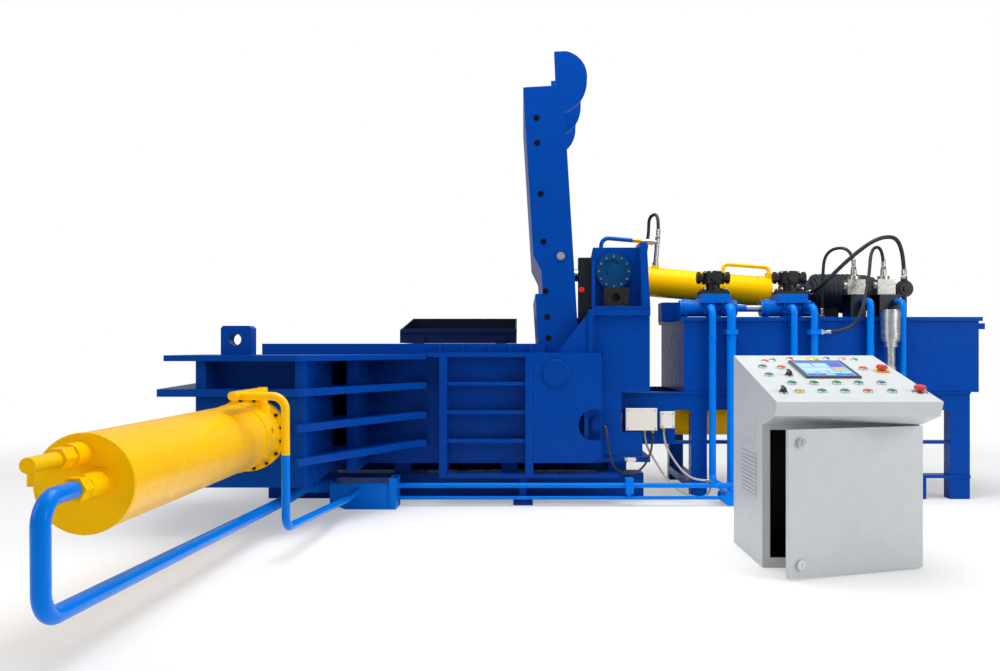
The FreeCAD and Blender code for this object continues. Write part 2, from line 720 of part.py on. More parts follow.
def lid_cylinder():
    """The swinging lid cylinder with its trunnion block, end caps and top pipe."""
    nose = -96
    tail = nose + s.lid_tube_length
    zero = (0, 0)
    outer = turned("X", zero, nose, [(s.lid_tube_radius + 6, 60),
                                     (s.lid_tube_radius - 6, 90),
                                     (s.lid_tube_radius, s.lid_tube_length - 260),
                                     (s.lid_tube_radius + 5, 110)])
    collar = box((-62, 62), (-150, 150), (-80, 80))
    reach = middle_y - s.chamber_front - s.housing_depth + s.housing_thick - 1
    pins = [rod("Y", zero, s.trunnion_radius, -reach, reach),
            rod("Y", zero, s.trunnion_radius + 15, -reach + 61, reach - 61)]
    hollow = rod("X", zero, 95, nose + 60, tail - 70)
    gland = rod("X", zero, s.lid_rod_radius + s.running_gap, nose - 1, nose + 61)
    top_pipe = tube([(940, -40, 118), (940, -40, 192), (1312, -40, 196), (1312, -40, 140)],
                    15, 40)
    bosses = [box((905, 975), (-75, -5), (88, 128)), box((1290, 1334), (-75, -5), (60, 150)),
              box((-92, -40), (-56, -4), (90, 131)), box((360, 416), (-58, -2), (90, 131)),
              box((288, 356), (96, 176), (40, 112))]
    return along_link(cut(fuse(outer, collar, *pins, *bosses, top_pipe), hollow, gland))


def lid_rod():
    """The lid cylinder's rod with its eye and piston."""
    zero = (0, 0)
    reach = -s.link_reach
    eye = rod("Y", (reach, 0), s.link_eye, -50, 50)
    neck = box((reach + 30, reach + 110), (-42, 42), (-42, 42))
    stem = rod("X", zero, s.lid_rod_radius, reach + 90, 1220)
    piston = rod("X", zero, 94.9, 1140, 1220)
    hole = rod("Y", (reach, 0), s.link_pin + 0.3, -51, 51)
    return along_link(cut(fuse(eye, neck, stem, piston), hole))


node("lid_cylinder", lid_cylinder())
node("lid_rod", lid_rod())


# --------------------------------------------------------------------------- rams
def main_ram():
    """The main press ram: a hollow box with a face plate and its piston rod."""
    gap = s.ram_gap
    y = (s.chamber_front + gap, back_inner - gap)
    z = (s.floor_top + gap, press_top - gap)
    shell = box((s.ram_rest, s.ram_rest + s.ram_thick), y, z)
    pocket = [box((s.ram_rest + 80, s.ram_rest + s.ram_thick + 1), (low, low + 330),
                  (z[0] + 50, z[1] - 50)) for low in (255, 650, 1295)]
    at = (middle_y, s.main_level)
    back = s.ram_rest + s.ram_thick
    stem = rod("X", at, s.main_rod_radius, back - 120, 2350)
    piston = rod("X", at, 139.9, 2270, 2350)
    return fuse(cut(shell, *pocket), stem, piston)


def side_ram():
    """The side press ram: its platen and piston rod."""
    gap = s.ram_gap
    face = s.chamber_front - 5
    platen = box((tunnel_left + gap, tunnel_right - gap), (face - 200, face),
                 (s.floor_top + gap, press_top - gap))
    pocket = [box((low, low + 130), (face - 201, face - 70),
                  (s.floor_top + 55, press_top - 55)) for low in (tunnel_left + 45,
                                                                  tunnel_right - 175)]
    stem = rod("Y", axis_side, s.side_rod_radius, cap_y + 110, face - 120)
    piston = rod("Y", axis_side, s.side_rod_radius + 29.9, cap_y + 110, cap_y + 220)
    return fuse(cut(platen, *pocket), stem, piston)


node("main_ram", main_ram())
node("side_ram", side_ram())


def main_cylinder():
    """The main press cylinder behind the bulkhead, on its saddle."""
    at = (middle_y, s.main_level)
    start = s.plate_left + 64
    end = start + s.main_tube_length
    outer = turned("X", at, start, [(s.main_tube_radius + 60, 55),
                                    (s.main_tube_radius, s.main_tube_length - 135),
                                    (s.main_tube_radius + 10, 80)])
    saddle = box((end - 180, end - 100), (middle_y - 170, middle_y + 170),
                 (0, s.main_level - 60))
    hollow = rod("X", at, 140, start + 70, end - 70)
    gland = rod("X", at, s.main_rod_radius + s.running_gap, start - 1, start + 71)
    return cut(fuse(outer, saddle), hollow, gland)


node("main_cylinder", main_cylinder())


def bale_gate():
    """The sliding door that closes the bale outlet at the back."""
    x = (tunnel_left - 30, tunnel_right + 31)
    y = (back_face + 0.5, back_face + 0.5 + s.gate_thick)
    slab = box(x, y, (s.floor_top - 10.5, press_top + 10.5))
    ribs = [box(x, (back_face + s.gate_thick, back_face + s.gate_thick + 40),
                (level, level + 22)) for level in (430, 580, 730)]
    return fuse(slab, *ribs)


node("bale_gate", bale_gate())


def feed_bin():
    """The open feed bin behind the chamber, on two brackets of the rear rail."""
    left, right = -1112, -62
    outline = [(1790, 1173), (1790, 1301), (2700, 1428), (2700, 1240), (2420, 1173)]
    inside = [(1800, 1183), (1800, 1330), (2690, 1452), (2690, 1246), (2417, 1183)]
    shell = cut(profile("YZ", outline, left, right),
                profile("YZ", inside, left + 10, right - 10))
    rim = [box((left - 6, right + 6), (1780, 1790), (1265, 1301)),
           box((left - 12, left), (1790, 1830), (1173, 1290))]
    rail = s.chamber_front + s.chamber_depth + s.rail_thick
    brackets = [box((x, x + 96), (rail, 1790), (1141, 1237)) for x in (-999, -250)]
    return fuse(shell, *rim, *brackets)


node("feed_bin", feed_bin())


def lid_feed_pipe():
    """The rigid pipe over the lid cylinder's nose, its fittings and its tee."""
    pipe = tube([(-66, -30, 131), (-66, -30, 322), (300, -30, 322)], 17, 60)
    tee = [rod("X", (-30, 322), 24, 296, 352), rod("X", (-30, 322), 19, 352, 400),
           rod("Z", (388, -30), 19, 150, 348), rod("Z", (388, -30), 25, 131, 158),
           rod("Z", (322, 140), 20, 112, 150)]
    return along_link(fuse(pipe, *tee))


node("lid_feed_pipe", lid_feed_pipe())


# --------------------------------------------------------------------- power unit
tank_right = s.tank_left + s.tank_width
tank_back = s.tank_front + s.tank_depth
tank_top = s.frame_top + s.tank_height
deck_top = tank_top + s.tank_lid


RISER_AT = (1396, 1536, 1999, 2148, 2561, 2800)


def oil_tank():
    """The oil tank with its lid, lifting hooks and header box."""
    body = box((s.tank_left, tank_right), (s.tank_front, tank_back),
               (s.frame_top, tank_top))
    cover = box((s.tank_left - 20, tank_right + 20), (s.tank_front - 20, tank_back + 20),
                (tank_top, deck_top))
    hooks = [box((tank_right, tank_right + 67), (y, y + 30), (1263, 1308))
             for y in (300, 1280)]
    header = box((1100, 1293), (700, 900), (deck_top - 12, 1485))
    saddle = box((1100, 1200), (700, 900), (1330, 1352))
    cleaning_cover = rod("X", (800, 1060), 190, tank_right, tank_right + 14)
    return fuse(body, cover, header, saddle, cleaning_cover, *hooks)


def power_frame():
    """The welded frame under the tank, its front panel, legs and feet."""
    f = s.tank_front
    low = s.frame_top - s.rail_deep
    parts = []
    for y in (f, tank_back - s.frame_bar):
        rail_y = (y, y + s.frame_bar)
        parts.append(box((s.frame_left, s.frame_right), rail_y, (low, s.frame_top)))
        parts.append(box((1249, 1249 + s.leg_width), rail_y, (0, low)))
        parts.append(box((s.frame_right - 148, s.frame_right), rail_y, (0, low)))
        parts.append(box((1249, s.frame_right), (y + 10, y + 90),
                         (s.tie_high - s.tie_deep, s.tie_high)))
        parts.append(box((2973, s.frame_right + 1), (y - 10, y + 110), (156, 178)))
        parts.append(box((2973, 2998), (y, y + 100), (0, 156)))
    parts.append(box((s.frame_left, 1130), (f, f + 16), (s.tie_high - s.tie_deep, low)))
    parts.append(box((s.frame_left, 1249), (f, f + 70),
                     (s.tie_high - s.tie_deep, s.tie_high)))
    parts.append(box((s.frame_left - 16, s.frame_left), (f - 14, f + 100), (640, s.frame_top)))
    parts.append(box((s.frame_left - 16, s.frame_right), (f - 14, f), (780, s.frame_top)))
    for x in (s.frame_left, s.frame_right - 60):
        parts.append(box((x, x + 60), (f + 50, tank_back - 50), (754, s.frame_top)))
    parts.append(box((1249, 1249 + s.leg_width), (f + 50, tank_back - 50), (60, 120)))
    return fuse(*parts)


node("oil_tank", oil_tank())
node("power_frame", power_frame())


def junction_boxes():
    """The two grey junction boxes on the frame and the small sensor by the floor."""
    f = s.tank_front
    large = fuse(box((757, 975), (f - 96, f), (524, 676)),
                 box((751, 981), (f - 110, f - 96), (518, 682)))
    small = fuse(box((1014, 1112), (f - 62, f), (536, 652)),
                 box((1010, 1116), (f - 72, f - 62), (532, 656)))
    sensor = fuse(box((752, 808), (60, 97), (296, 328)),
                  box((740, 820), (96, 130), (302, 322)))
    return group(large, small, sensor)


node("junction_boxes", junction_boxes())


def valve_manifolds():
    """The blue distribution manifolds and valve blocks on the tank's deck."""
    y = s.valve_front
    axis = (y, deck_top + s.manifold + 8)
    parts = []
    for low, high, x in ((1184, 1616, 1442), (1798, 2178, 2018)):
        parts.append(rod("X", axis, s.manifold, low, high))
        parts.append(rod("X", axis, s.manifold + 8, low + 24, low + 60))
        parts.append(box((x - 110, x + 110), (y - 110, y + 110), (1460, 1527)))
        parts.append(box((x - 50, x + 50), (y - 40, y + 40), (deck_top, 1445)))
    for x in RISER_AT[:4]:
        parts.append(box((x - 42, x + 42), (y - 74, y), (axis[1] - 42, axis[1] + 42)))
    parts.append(rod("X", axis, 26, 1600, 1810))
    for low, high, top in ((2454, 2564, 1525), (2671, 2826, 1525)):
        parts.append(box((low, high), (y - 90, y + 90), (deck_top, top)))
    return fuse(*parts)


node("valve_manifolds", valve_manifolds())


def flange_valves():
    """The black valve towers, the port flange in the housing and the end disc."""
    y = s.valve_front
    pieces = []
    for x in (1442, 2018):
        at = (x, y)
        square = box((x - 102, x + 102), (y - 102, y + 102), (1527, 1550))
        arm = [rod("X", (y, 1655), 34, x - 125, x + 125), rod("Y", (x, 1655), 34, y - 125,
                                                             y + 125)]
        caps = [hexagon("X", (y, 1655), 92, x - 122, x - 96),
                hexagon("X", (y, 1655), 92, x + 96, x + 122),
                hexagon("Y", (x, 1655), 92, y - 122, y - 96)]
        body = [rod("Z", at, 78, 1550, 1572), rod("Z", at, 53, 1572, 1616),
                rod("Z", at, 84, 1608, 1690), rod("Z", at, 60, 1690, 1704)]
        bolts = [hexagon("Z", (x + a, y + b), 30, 1549, 1562)
                 for a in (-78, 78) for b in (-78, 78)]
        pieces.append(fuse(square, *arm, *caps, *body, *bolts))
    plate = cut(box((598, 785), (236, 316), (s.plate_top + 30, 1571)),
                rod("Y", (688, 1499), 31, 235, 300))
    bolts = [hexagon("Y", (a, b), 30, 226, 237) for a in (625, 758) for b in (1458, 1540)]
    pieces.append(fuse(plate, *bolts))
    disc = turned("Y", (2883, 1570), y - 60, [(18, 12), (46, 10), (64, 40)])
    pieces.append(fuse(disc, rod("Z", (2883, y - 20), 20, deck_top, 1540),
                       rod("Z", (2883, y - 20), 26, 1612, 1640)))
    return group(*pieces)


node("flange_valves", flange_valves())


def relief_valves():
    """The bare metal valves on the right-hand blocks and their solenoid ends."""
    y = s.valve_front
    pieces = []
    for low, high in ((2442, 2576), (2668, 2802)):
        middle = (low + high) / 2
        body = box((low, high), (y - 62, y + 62), (1525, 1640))
        top = rod("Z", (middle, y), 44, 1640, 1668)
        ends = rod("X", (y, 1590), 34, low - 14, high + 14)
        stem = rod("Z", (middle, y), 22, 1668, 1716)
        pieces.append(fuse(body, top, ends, stem))
    return group(*pieces)


node("relief_valves", relief_valves())


def oil_filter():
    """The return filter: bowl, lower stem and its bracket on the tank."""
    at = (2691, s.riser_front - 40)
    bowl = turned("Z", at, 1130, [(50, 40), (66, 20), (72, 200), (64, 12)])
    stem = rod("Z", at, 33, 982, 1131)
    foot = rod("Z", at, 40, 960, 984)
    bracket = box((2661, 2721), (at[1] + 40, s.tank_front), (1190, 1310))
    return fuse(bowl, stem, foot, bracket)


node("oil_filter", oil_filter())


def pump_motor():
    """The electric motor and pump lying on the tank's deck."""
    at = (800, 1560)
    motor = turned("X", at, 2300, [(120, 20), (150, 420), (134, 60)])
    fins = [rod("X", at, 158, x, x + 10) for x in range(2340, 2700, 36)]
    pump = turned("X", at, 2070, [(96, 120), (60, 50), (112, 30), (80, 32)])
    feet = [box((x, x + 120), (700, 900), (deck_top, 1450)) for x in (2090, 2380, 2600)]
    return fuse(motor, *fins, pump, *feet)


node("pump_motor", pump_motor())


def risers():
    """The rigid pipes from the manifolds down past the tank's front."""
    top = float(deck_top) + 70
    near = float(s.valve_front) - 74
    pieces = []
    for x, radius, foot in ((1396, 26, 146), (1536, 33, 58)):
        pieces.append(tube([(x, near, top), (x, 200, top), (x, 200, foot), (x, -40, foot)],
                           radius, 62))
        pieces.append(rod("Z", (x, 200), radius + 5, 1190, 1206))
    for x, radius in ((1999, 24), (2148, 26), (2561, 26), (2800, 22)):
        start = near if x < 2200 else 310
        high = top if x < 2200 else 1470
        pieces.append(tube([(x, start, high), (x, 200, high), (x, 200, 850), (x, 259, 850)],
                           radius, 50))
    clamps = [box((x - 40, x + 40), (160, s.tank_front), (1222, 1258)) for x in (1536, 2148)]
    clips = [box((1336, 1390), (40, 80), (150, 178)), box((1330, 1362), (-60, -20), (146, 196))]
    return pieces + clamps + clips


node("pipework", fuse(PIPES_AT_FOOT, *risers()))


def column():
    """The dark switch column beside the housing with its knob."""
    body = box((412, 505), (236, 330), (1336, 1792))
    knob = turned("Y", (432, 1553), 206, [(20, 18), (9, 12)])
    return fuse(body, knob)


node("switch_column", column())


# ------------------------------------------------------------------------ console
desk_right = s.desk_left + s.desk_width
desk_back = s.desk_front + s.desk_depth
lip_y = s.desk_front - s.desk_lip
SLOPE = math.atan2(float(s.desk_back_top - s.lip_top), float(desk_back - lip_y))
RISE, RUN = math.sin(SLOPE), math.cos(SLOPE)


def on_panel(thing, across, up):
    """Set a piece drawn about the origin, facing +Z, at a place on the sloped panel."""
    put(thing, s.desk_left + across, lip_y + up * RUN, s.lip_top + up * RISE,
        turn=Rotation(Vector(1, 0, 0), math.degrees(SLOPE)))
    return thing


BUTTONS = {
    "button_start": (97, 643), "button_stop": (195, 623), "button_reset": (633, 602),
    "button_pump": (88, 475), "button_lid_raise": (164, 317), "button_lid_lower": (277, 317),
    "button_ram_out": (393, 317), "button_ram_back": (505, 317), "button_side_out": (623, 317),
    "button_side_back": (159, 170), "button_gate_open": (271, 170),
    "button_gate_close": (385, 170), "button_feed_on": (499, 170),
    "button_feed_off": (619, 170),
}
STOPS = {"stop_upper": (718, 562), "stop_lower": (756, 170)}
SELECTORS = {"selector_mode": (194, 475), "selector_power": (76, 161)}
LAMPS = ((143, 769), (191, 790), (298, 823), (428, 818), (506, 823), (594, 823), (657, 801))


def console_cabinet():
    """The console's sheet cabinet with its sloped desk, door opening and louvres."""
    wall = s.sheet_steel
    under = 730
    outline = [(desk_back, 0), (desk_back, s.desk_back_top), (lip_y, s.lip_top),
               (lip_y + 35, s.lip_low), (s.desk_front - 29, under), (s.desk_front + 0.5, under),
               (s.desk_front + 0.5, 0)]
    inside = [(desk_back - wall, wall), (desk_back - wall, s.desk_back_top - wall * 1.3),
              (lip_y + wall * 1.6, s.lip_top - wall * 0.6),
              (lip_y + 38 + wall, s.lip_low + wall * 0.6), (s.desk_front - 24, under + wall),
              (s.desk_front + 0.5 + wall, under + wall), (s.desk_front + 0.5 + wall, wall)]
    shell = cut(profile("YZ", outline, s.desk_left, desk_right),
                profile("YZ", inside, s.desk_left + wall, desk_right - wall))
    opening = box((s.desk_left + 40, desk_right - 40),
                  (s.desk_front - 1, s.desk_front + 3 + wall), (50, under - 30))
    louvres = [box((s.desk_left - 5, s.desk_left + 1), (-1757, -1430),
                   (336 + 21 * i, 347 + 21 * i)) for i in range(12)]
    louvres.append(box((s.desk_left - 4, s.desk_left + 1), (-1740, -1420), (628, 740)))
    holes = []
    for across, up in list(BUTTONS.values()) + list(STOPS.values()) + list(SELECTORS.values()):
        holes.append(on_panel(group(rod("Z", (0, 0), 9.5, -45, 5)), across, up))
    shelf = box((s.desk_left + 60, desk_right - 60), (desk_back - wall - 12, desk_back - wall),
                (150, 640))
    corner = [rod("Z", (desk_right, s.desk_front), 7.5, z, z + 84) for z in (94, 558)]
    return cut(fuse(shell, shelf, *louvres), opening, *corner, *holes)


node("console_cabinet", console_cabinet())


def console_door():
    """The cabinet door, drawn closed about its hinge and set ajar."""
    leaf = box((10 - s.desk_width, 0), (-s.door_thick, 0), (8, 722))
    pocket = box((16 - s.desk_width, -6), (-s.door_thick + 4, 1), (14, 716))
    stays = [box((16 - s.desk_width, -6), (-s.door_thick + 3, -4), (z, z + 30))
             for z in (200, 500)]
    bores = [rod("Y", (s.lock_inset - s.desk_width, level), s.lock_stem + 0.4,
                 -s.door_thick - 1, 1) for level in (s.lock_low, s.lock_high)]
    knuckles = [rod("Z", (0, 0), 5, z, z + 80) for z in (96, 560)]
    body = cut(fuse(cut(leaf, pocket), *stays, *knuckles), *bores)
    return ajar(body)


def ajar(thing, z=0):
    """Turn a piece drawn about the door's hinge line to the door's rest position."""
    put(thing, desk_right, s.desk_front, z, turn=Rotation(Vector(0, 0, 1), 18))
    thing.setExpression("Placement.Rotation.Angle", s.door_ajar.text)
    return thing


def door_lock(level):
    """One quarter-turn door lock: a round head, its wing and its stem."""
    x = s.lock_inset - s.desk_width
    head = rod("Y", (x, level), s.lock_radius, -s.door_thick - 14, -s.door_thick - 0.5)
    slot = box((x - 4, x + 4), (-s.door_thick - 15, -s.door_thick - 10),
               (level - 15, level + 15))
    stem = rod("Y", (x, level), s.lock_stem, -s.door_thick - 1, -2)
    return ajar(cut(fuse(head, stem), slot))


node("console_door", console_door())
node("door_lock_upper", door_lock(s.lock_high))
node("door_lock_lower", door_lock(s.lock_low))


def touch_screen():
    """The touch screen: a flat frame with a shallow pane recess."""
    frame = box((0, 293), (0, 332), (0, 12))
    pane = box((18, 275), (18, 314), (11, 13))
    return on_panel(cut(frame, pane), 265, 415)


node("touch_screen", touch_screen())


def button_bezels():
    """The metal bezels round the buttons, stops and selectors."""
    rings = []
    for across, up in BUTTONS.values():
        rings.append(on_panel(cut(rod("Z", (0, 0), 24, 0, 9), rod("Z", (0, 0), 18, -1, 10)),
                              across, up))
    for across, up in SELECTORS.values():
        rings.append(on_panel(cut(rod("Z", (0, 0), 24, 0, 5), rod("Z", (0, 0), 9.5, -1, 6)),
                              across, up))
    for across, up in STOPS.values():
        rings.append(on_panel(cut(rod("Z", (0, 0), 38, 0, 3), rod("Z", (0, 0), 9.5, -1, 4)),
                              across, up))
    return group(*rings)


node("button_bezels", button_bezels())


def pilot_lamps():
    """The pilot lamps along the top of the desk."""
    lenses = []
    for across, up in LAMPS:
        wide = 26 if across == 428 else 16
        base = rod("Z", (0, 0), wide + 4, 0, 5)
        lens = turned("Z", (0, 0), 4, [(wide, 9), (wide - 4, 4)])
        lenses.append(on_panel(fuse(base, lens), across, up))
    return group(*lenses)


node("pilot_lamps", pilot_lamps())

for name, (across, up) in BUTTONS.items():
    cap = fuse(rod("Z", (0, 0), 17, 5, 13), rod("Z", (0, 0), 9, -25, 6))
    node(name, on_panel(cap, across, up))
for name, (across, up) in STOPS.items():
    cap = turned("Z", (0, 0), -25, [(9, 34), (22, 8), (30, 10), (26, 5)])
    node(name, on_panel(cap, across, up))
for name, (across, up) in SELECTORS.items():
    knob = fuse(rod("Z", (0, 0), 9, -25, 8), rod("Z", (0, 0), 18, 5.5, 14),
                box((-7, 7), (-24, 24), (13, 30)))
    node(name, on_panel(knob, across, up))


# ----------------------------------------------------------------- hoses and cables
CORDS = {
    "arc_hose": (15, [(2255, 688, 1560), (2255, 470, 1560), (2440, 330, 1790),
                      (2650, 240, 1960), (2883, 380, 1940), (2883, 380, 1640)]),
    "loop_hose": (12, [(2330, 580, 1353), (2330, 580, 1640), (2345, 560, 1890),
                       (2509, 400, 1890), (2509, 400, 1716)]),
    "drain_hose": (12, [(2188, 190, 1240), (2400, 190, 1240), (2480, 150, 1380),
                        (2560, 230, 1640), (2600, 290, 1880), (2735, 400, 1880),
                        (2735, 400, 1716)]),
    "box_cable": (8, [(896, 215, 524), (896, 215, 430), (960, 200, 310), (1060, 165, 150),
                      (1180, 115, 48), (1352, 60, 36), (1352, 60, 150)]),
    "switch_cable": (8, [(1040, 228, 536), (1040, 228, 425), (1105, 180, 300),
                         (1165, 80, 215), (1230, -38, 180), (1330, -38, 180)]),
    "sensor_cable": (8, [(592, 76, 548), (592, -34, 548), (610, -34, 400), (640, -24, 275),
                         (715, 60, 222), (800, 70, 208), (880, 100, 262), (925, 110, 350),
                         (955, 200, 430), (955, 200, 524)]),
}
for name, (section, points) in CORDS.items():
    node(name, tube(points, section))
LINK_HOSE = [(388, -30, 348), (388, -30, 560), (322, 140, 560), (334, 146, 420), (322, 140, 300),
             (322, 140, 150)]
node("lid_hose", along_link(tube(LINK_HOSE, 13.5)))


# --------------------------------------------------------------- checks and export
doc.recompute()
broken = [thing.Label for thing in doc.Objects
          if "Invalid" in thing.State or "Error" in thing.State]
for thing in NODES:
    if thing.Shape.isNull() or not thing.Shape.isValid() or not thing.Shape.Solids:
        broken.append(thing.Label)
if broken:
    raise RuntimeError("not built: " + ", ".join(broken))
for thing in NODES:
    thing.Shape.exportStep(os.path.join("parts", thing.Label + ".step"))
print(len(NODES), "sub-parts written")
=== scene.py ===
"""A two-ram scrap baler with its power unit and control desk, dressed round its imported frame.

The CAD bodies keep their shapes and get their finishes here. New pieces are the free hoses
and cables, their crimped ends, weld beads, flange screws, lamp lenses, box lids and the
colour fields of the touch screen. Lengths are in millimetres until MM turns them to metres.
"""
import math

import bmesh
import bpy
import numpy as np
from mathutils import Matrix, Vector


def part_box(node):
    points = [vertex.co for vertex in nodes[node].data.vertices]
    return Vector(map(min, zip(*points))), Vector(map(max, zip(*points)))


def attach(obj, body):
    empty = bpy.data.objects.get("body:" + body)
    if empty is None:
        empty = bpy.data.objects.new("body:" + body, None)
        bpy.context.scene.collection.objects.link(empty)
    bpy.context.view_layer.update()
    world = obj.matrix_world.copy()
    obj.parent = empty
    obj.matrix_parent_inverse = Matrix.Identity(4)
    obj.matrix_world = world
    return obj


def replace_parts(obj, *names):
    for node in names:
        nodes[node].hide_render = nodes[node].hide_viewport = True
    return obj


MM = 0.001

# Places on the machine, in millimetres.
TRUNNION = (681, 940, 1697)
LINK_STAND, LINK_LEAN = 0.99626, 0.08646   # cosine and sine of the link's 4.96 degrees
DESK_CORNER = np.array([1215.0, -2122.0, 856.0])
SIDE_AXIS = (-1615, 611)
WINDOW = (557, 100, 564)
TOWERS, TOWER_DEPTH = (1442, 2018), 400
STIFFENERS, SHELF_LEVELS, WALL_FACE = (-544, 16), (455, 660, 866), 129

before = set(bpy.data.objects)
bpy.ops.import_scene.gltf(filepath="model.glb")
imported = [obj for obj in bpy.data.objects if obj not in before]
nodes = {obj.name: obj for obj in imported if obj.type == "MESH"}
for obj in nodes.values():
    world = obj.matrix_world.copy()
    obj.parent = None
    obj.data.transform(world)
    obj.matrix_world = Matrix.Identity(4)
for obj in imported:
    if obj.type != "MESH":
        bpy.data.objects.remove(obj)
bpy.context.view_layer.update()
scene = bpy.context.scene
scene.view_settings.view_transform = "Standard"


# ------------------------------------------------------------------------------- camera
def add_camera():
    """A 32.4 mm lens on a 36 mm frame, 6.43 m in front of the machine and 1.1 m up."""
    lens = bpy.data.cameras.new("camera")
    lens.lens, lens.sensor_width = 32.4, 36
    lens.shift_x, lens.shift_y = -0.023, 0.0155
    lens.clip_end = 80
    eye = bpy.data.objects.new("camera", lens)
    scene.collection.objects.link(eye)
    eye.location = (0, -6.43, 1.1)
    eye.rotation_euler = (math.pi / 2, 0, 0)
    scene.camera = eye


add_camera()


# -------------------------------------------------------------------- places and turns
def link_point(along, across, up):
    """A point given from the lid cylinder's trunnion, in the machine's own frame."""
    return (TRUNNION[0] + LINK_STAND * along + LINK_LEAN * up, TRUNNION[1] + across,
            TRUNNION[2] - LINK_LEAN * along + LINK_STAND * up)


DESK_SLOPE = math.atan2(218, 879)
DESK_RIGHT = np.array([1.0, 0.0, 0.0])
DESK_UP = np.array([0.0, math.cos(DESK_SLOPE), math.sin(DESK_SLOPE)])
DESK_OUT = np.array([0.0, -math.sin(DESK_SLOPE), math.cos(DESK_SLOPE)])


def desk_point(across, up, out=0.0):
    """A point on the sloped desk, from its lower left corner."""
    return DESK_CORNER + across * DESK_RIGHT + up * DESK_UP + out * DESK_OUT


# ---------------------------------------------------------------------- hoses and cables
# name: (CAD body, slot, radius, length, stiffness, lay, points)
CORDS = {
    "arc_hose": ("base", "hose_rubber", 15, 1305, "medium", "hanging",
                 [(2255, 688, 1560), (2255, 470, 1560), (2440, 330, 1790),
                  (2650, 240, 1960), (2883, 380, 1940), (2883, 380, 1640)]),
    "loop_hose": ("base", "hose_rubber", 12, 869, "medium", "hanging",
                  [(2330, 580, 1353), (2330, 580, 1640), (2345, 560, 1890),
                   (2509, 400, 1890), (2509, 400, 1716)]),
    "drain_hose": ("base", "hose_rubber", 12, 1177, "medium", "hanging",
                   [(2188, 190, 1240), (2400, 190, 1240), (2480, 150, 1380),
                    (2560, 230, 1640), (2600, 290, 1880), (2735, 400, 1880),
                    (2735, 400, 1716)]),
    "box_cable": ("base", "cable_grey", 8, 851, "medium", "hanging",
                  [(896, 215, 524), (896, 215, 430), (960, 200, 310), (1060, 165, 150),
                   (1180, 115, 48), (1352, 60, 36), (1352, 60, 150)]),
    "switch_cable": ("base", "cable_grey", 8, 628, "medium", "hanging",
                     [(1040, 228, 536), (1040, 228, 425), (1105, 180, 300),
                      (1165, 80, 215), (1230, -38, 180), (1330, -38, 180)]),
    "sensor_cable": ("base", "cable_black", 8, 969, "medium", "hanging",
                     [(592, 76, 548), (592, -34, 548), (610, -34, 400), (640, -24, 275),
                      (715, 60, 222), (800, 70, 208), (880, 100, 262), (925, 110, 350),
                      (955, 200, 430), (955, 200, 524)]),
    "lid_hose": ("lid_barrel", "hose_rubber", 13.5, 743, "medium", "hanging",
                 [link_point(*p) for p in ((388, -30, 348), (388, -30, 560),
                                           (322, 140, 560), (334, 146, 420),
                                           (322, 140, 300), (322, 140, 150))]),
}


def add_cord(name, radius, points):
    """A round cord along a smooth spline whose control points are the route's points."""
    curve = bpy.data.curves.new(name + "_line", "CURVE")
    curve.dimensions = "3D"
    curve.bevel_depth = 1.0
    curve.bevel_resolution = 5
    curve.resolution_u = 10
    curve.use_fill_caps = True
    spline = curve.splines.new("NURBS")
    spline.points.add(len(points) - 1)
    spline.points.foreach_set("co", np.column_stack(
        [np.array(points) * MM, np.ones(len(points))]).ravel())
    spline.points.foreach_set("radius", [radius * MM] * len(points))
    spline.order_u = 3
    spline.use_endpoint_u = True
    cord = bpy.data.objects.new(name + "_line", curve)
    scene.collection.objects.link(cord)
    return cord


cords = {}
for name, (body, slot, radius, length, stiffness, lay, points) in CORDS.items():
    cord = cords[name] = add_cord(name, radius, points)
    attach(cord, body)
    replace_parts(cord, name)


# ----------------------------------------------------------------------------- finishes
def linear(code):
    """A '#rrggbb' sRGB colour as the linear RGBA that shader sockets take."""
    channels = np.array([int(code[i:i + 2], 16) for i in (1, 3, 5)]) / 255
    low = channels / 12.92
    high = ((channels + 0.055) / 1.055) ** 2.4
    return (*np.where(channels <= 0.04045, low, high), 1.0)


def add(tree, kind, links=None, **settings):
    """Add one shader node: settings by name, and links as {input: value or output socket}."""
    made = tree.nodes.new(kind)
    for key, value in settings.items():
        setattr(made, key, value)
    for key, value in (links or {}).items():
        if isinstance(value, bpy.types.NodeSocket):
            tree.links.new(value, made.inputs[key])
        else:
            made.inputs[key].default_value = value
    return made


def new_finish(name):
    """An empty material with its shader, and the Object coordinates that patterns read."""
    made = bpy.data.materials.new(name)
    made.use_nodes = True
    tree = made.node_tree
    tree.nodes.clear()
    shader = add(tree, "ShaderNodeBsdfPrincipled")
    out = add(tree, "ShaderNodeOutputMaterial")
    tree.links.new(shader.outputs[0], out.inputs[0])
    return made, tree, shader, add(tree, "ShaderNodeTexCoord").outputs["Object"]


def inside(tree, place, limits):
    """1 inside a box given as {axis: (low, high)} in millimetres, and 0 outside."""
    apart = add(tree, "ShaderNodeSeparateXYZ", {0: place})
    result = None
    for axis, (low, high) in limits.items():
        mask = add(tree, "ShaderNodeMath", {
            0: apart.outputs["XYZ".index(axis)], 1: (low + high) / 2 * MM,
            2: (high - low) / 2 * MM}, operation="COMPARE").outputs[0]
        result = mask if result is None else add(
            tree, "ShaderNodeMath", {0: result, 1: mask}, operation="MULTIPLY").outputs[0]
    return result


def blotches(tree, place, size, detail=2.0):
    """Soft noise whose patches are about size millimetres across, from 0 to 1."""
    return add(tree, "ShaderNodeTexNoise", {"Vector": place, "Scale": 1 / (size * MM),
                                            "Detail": detail}).outputs[0]


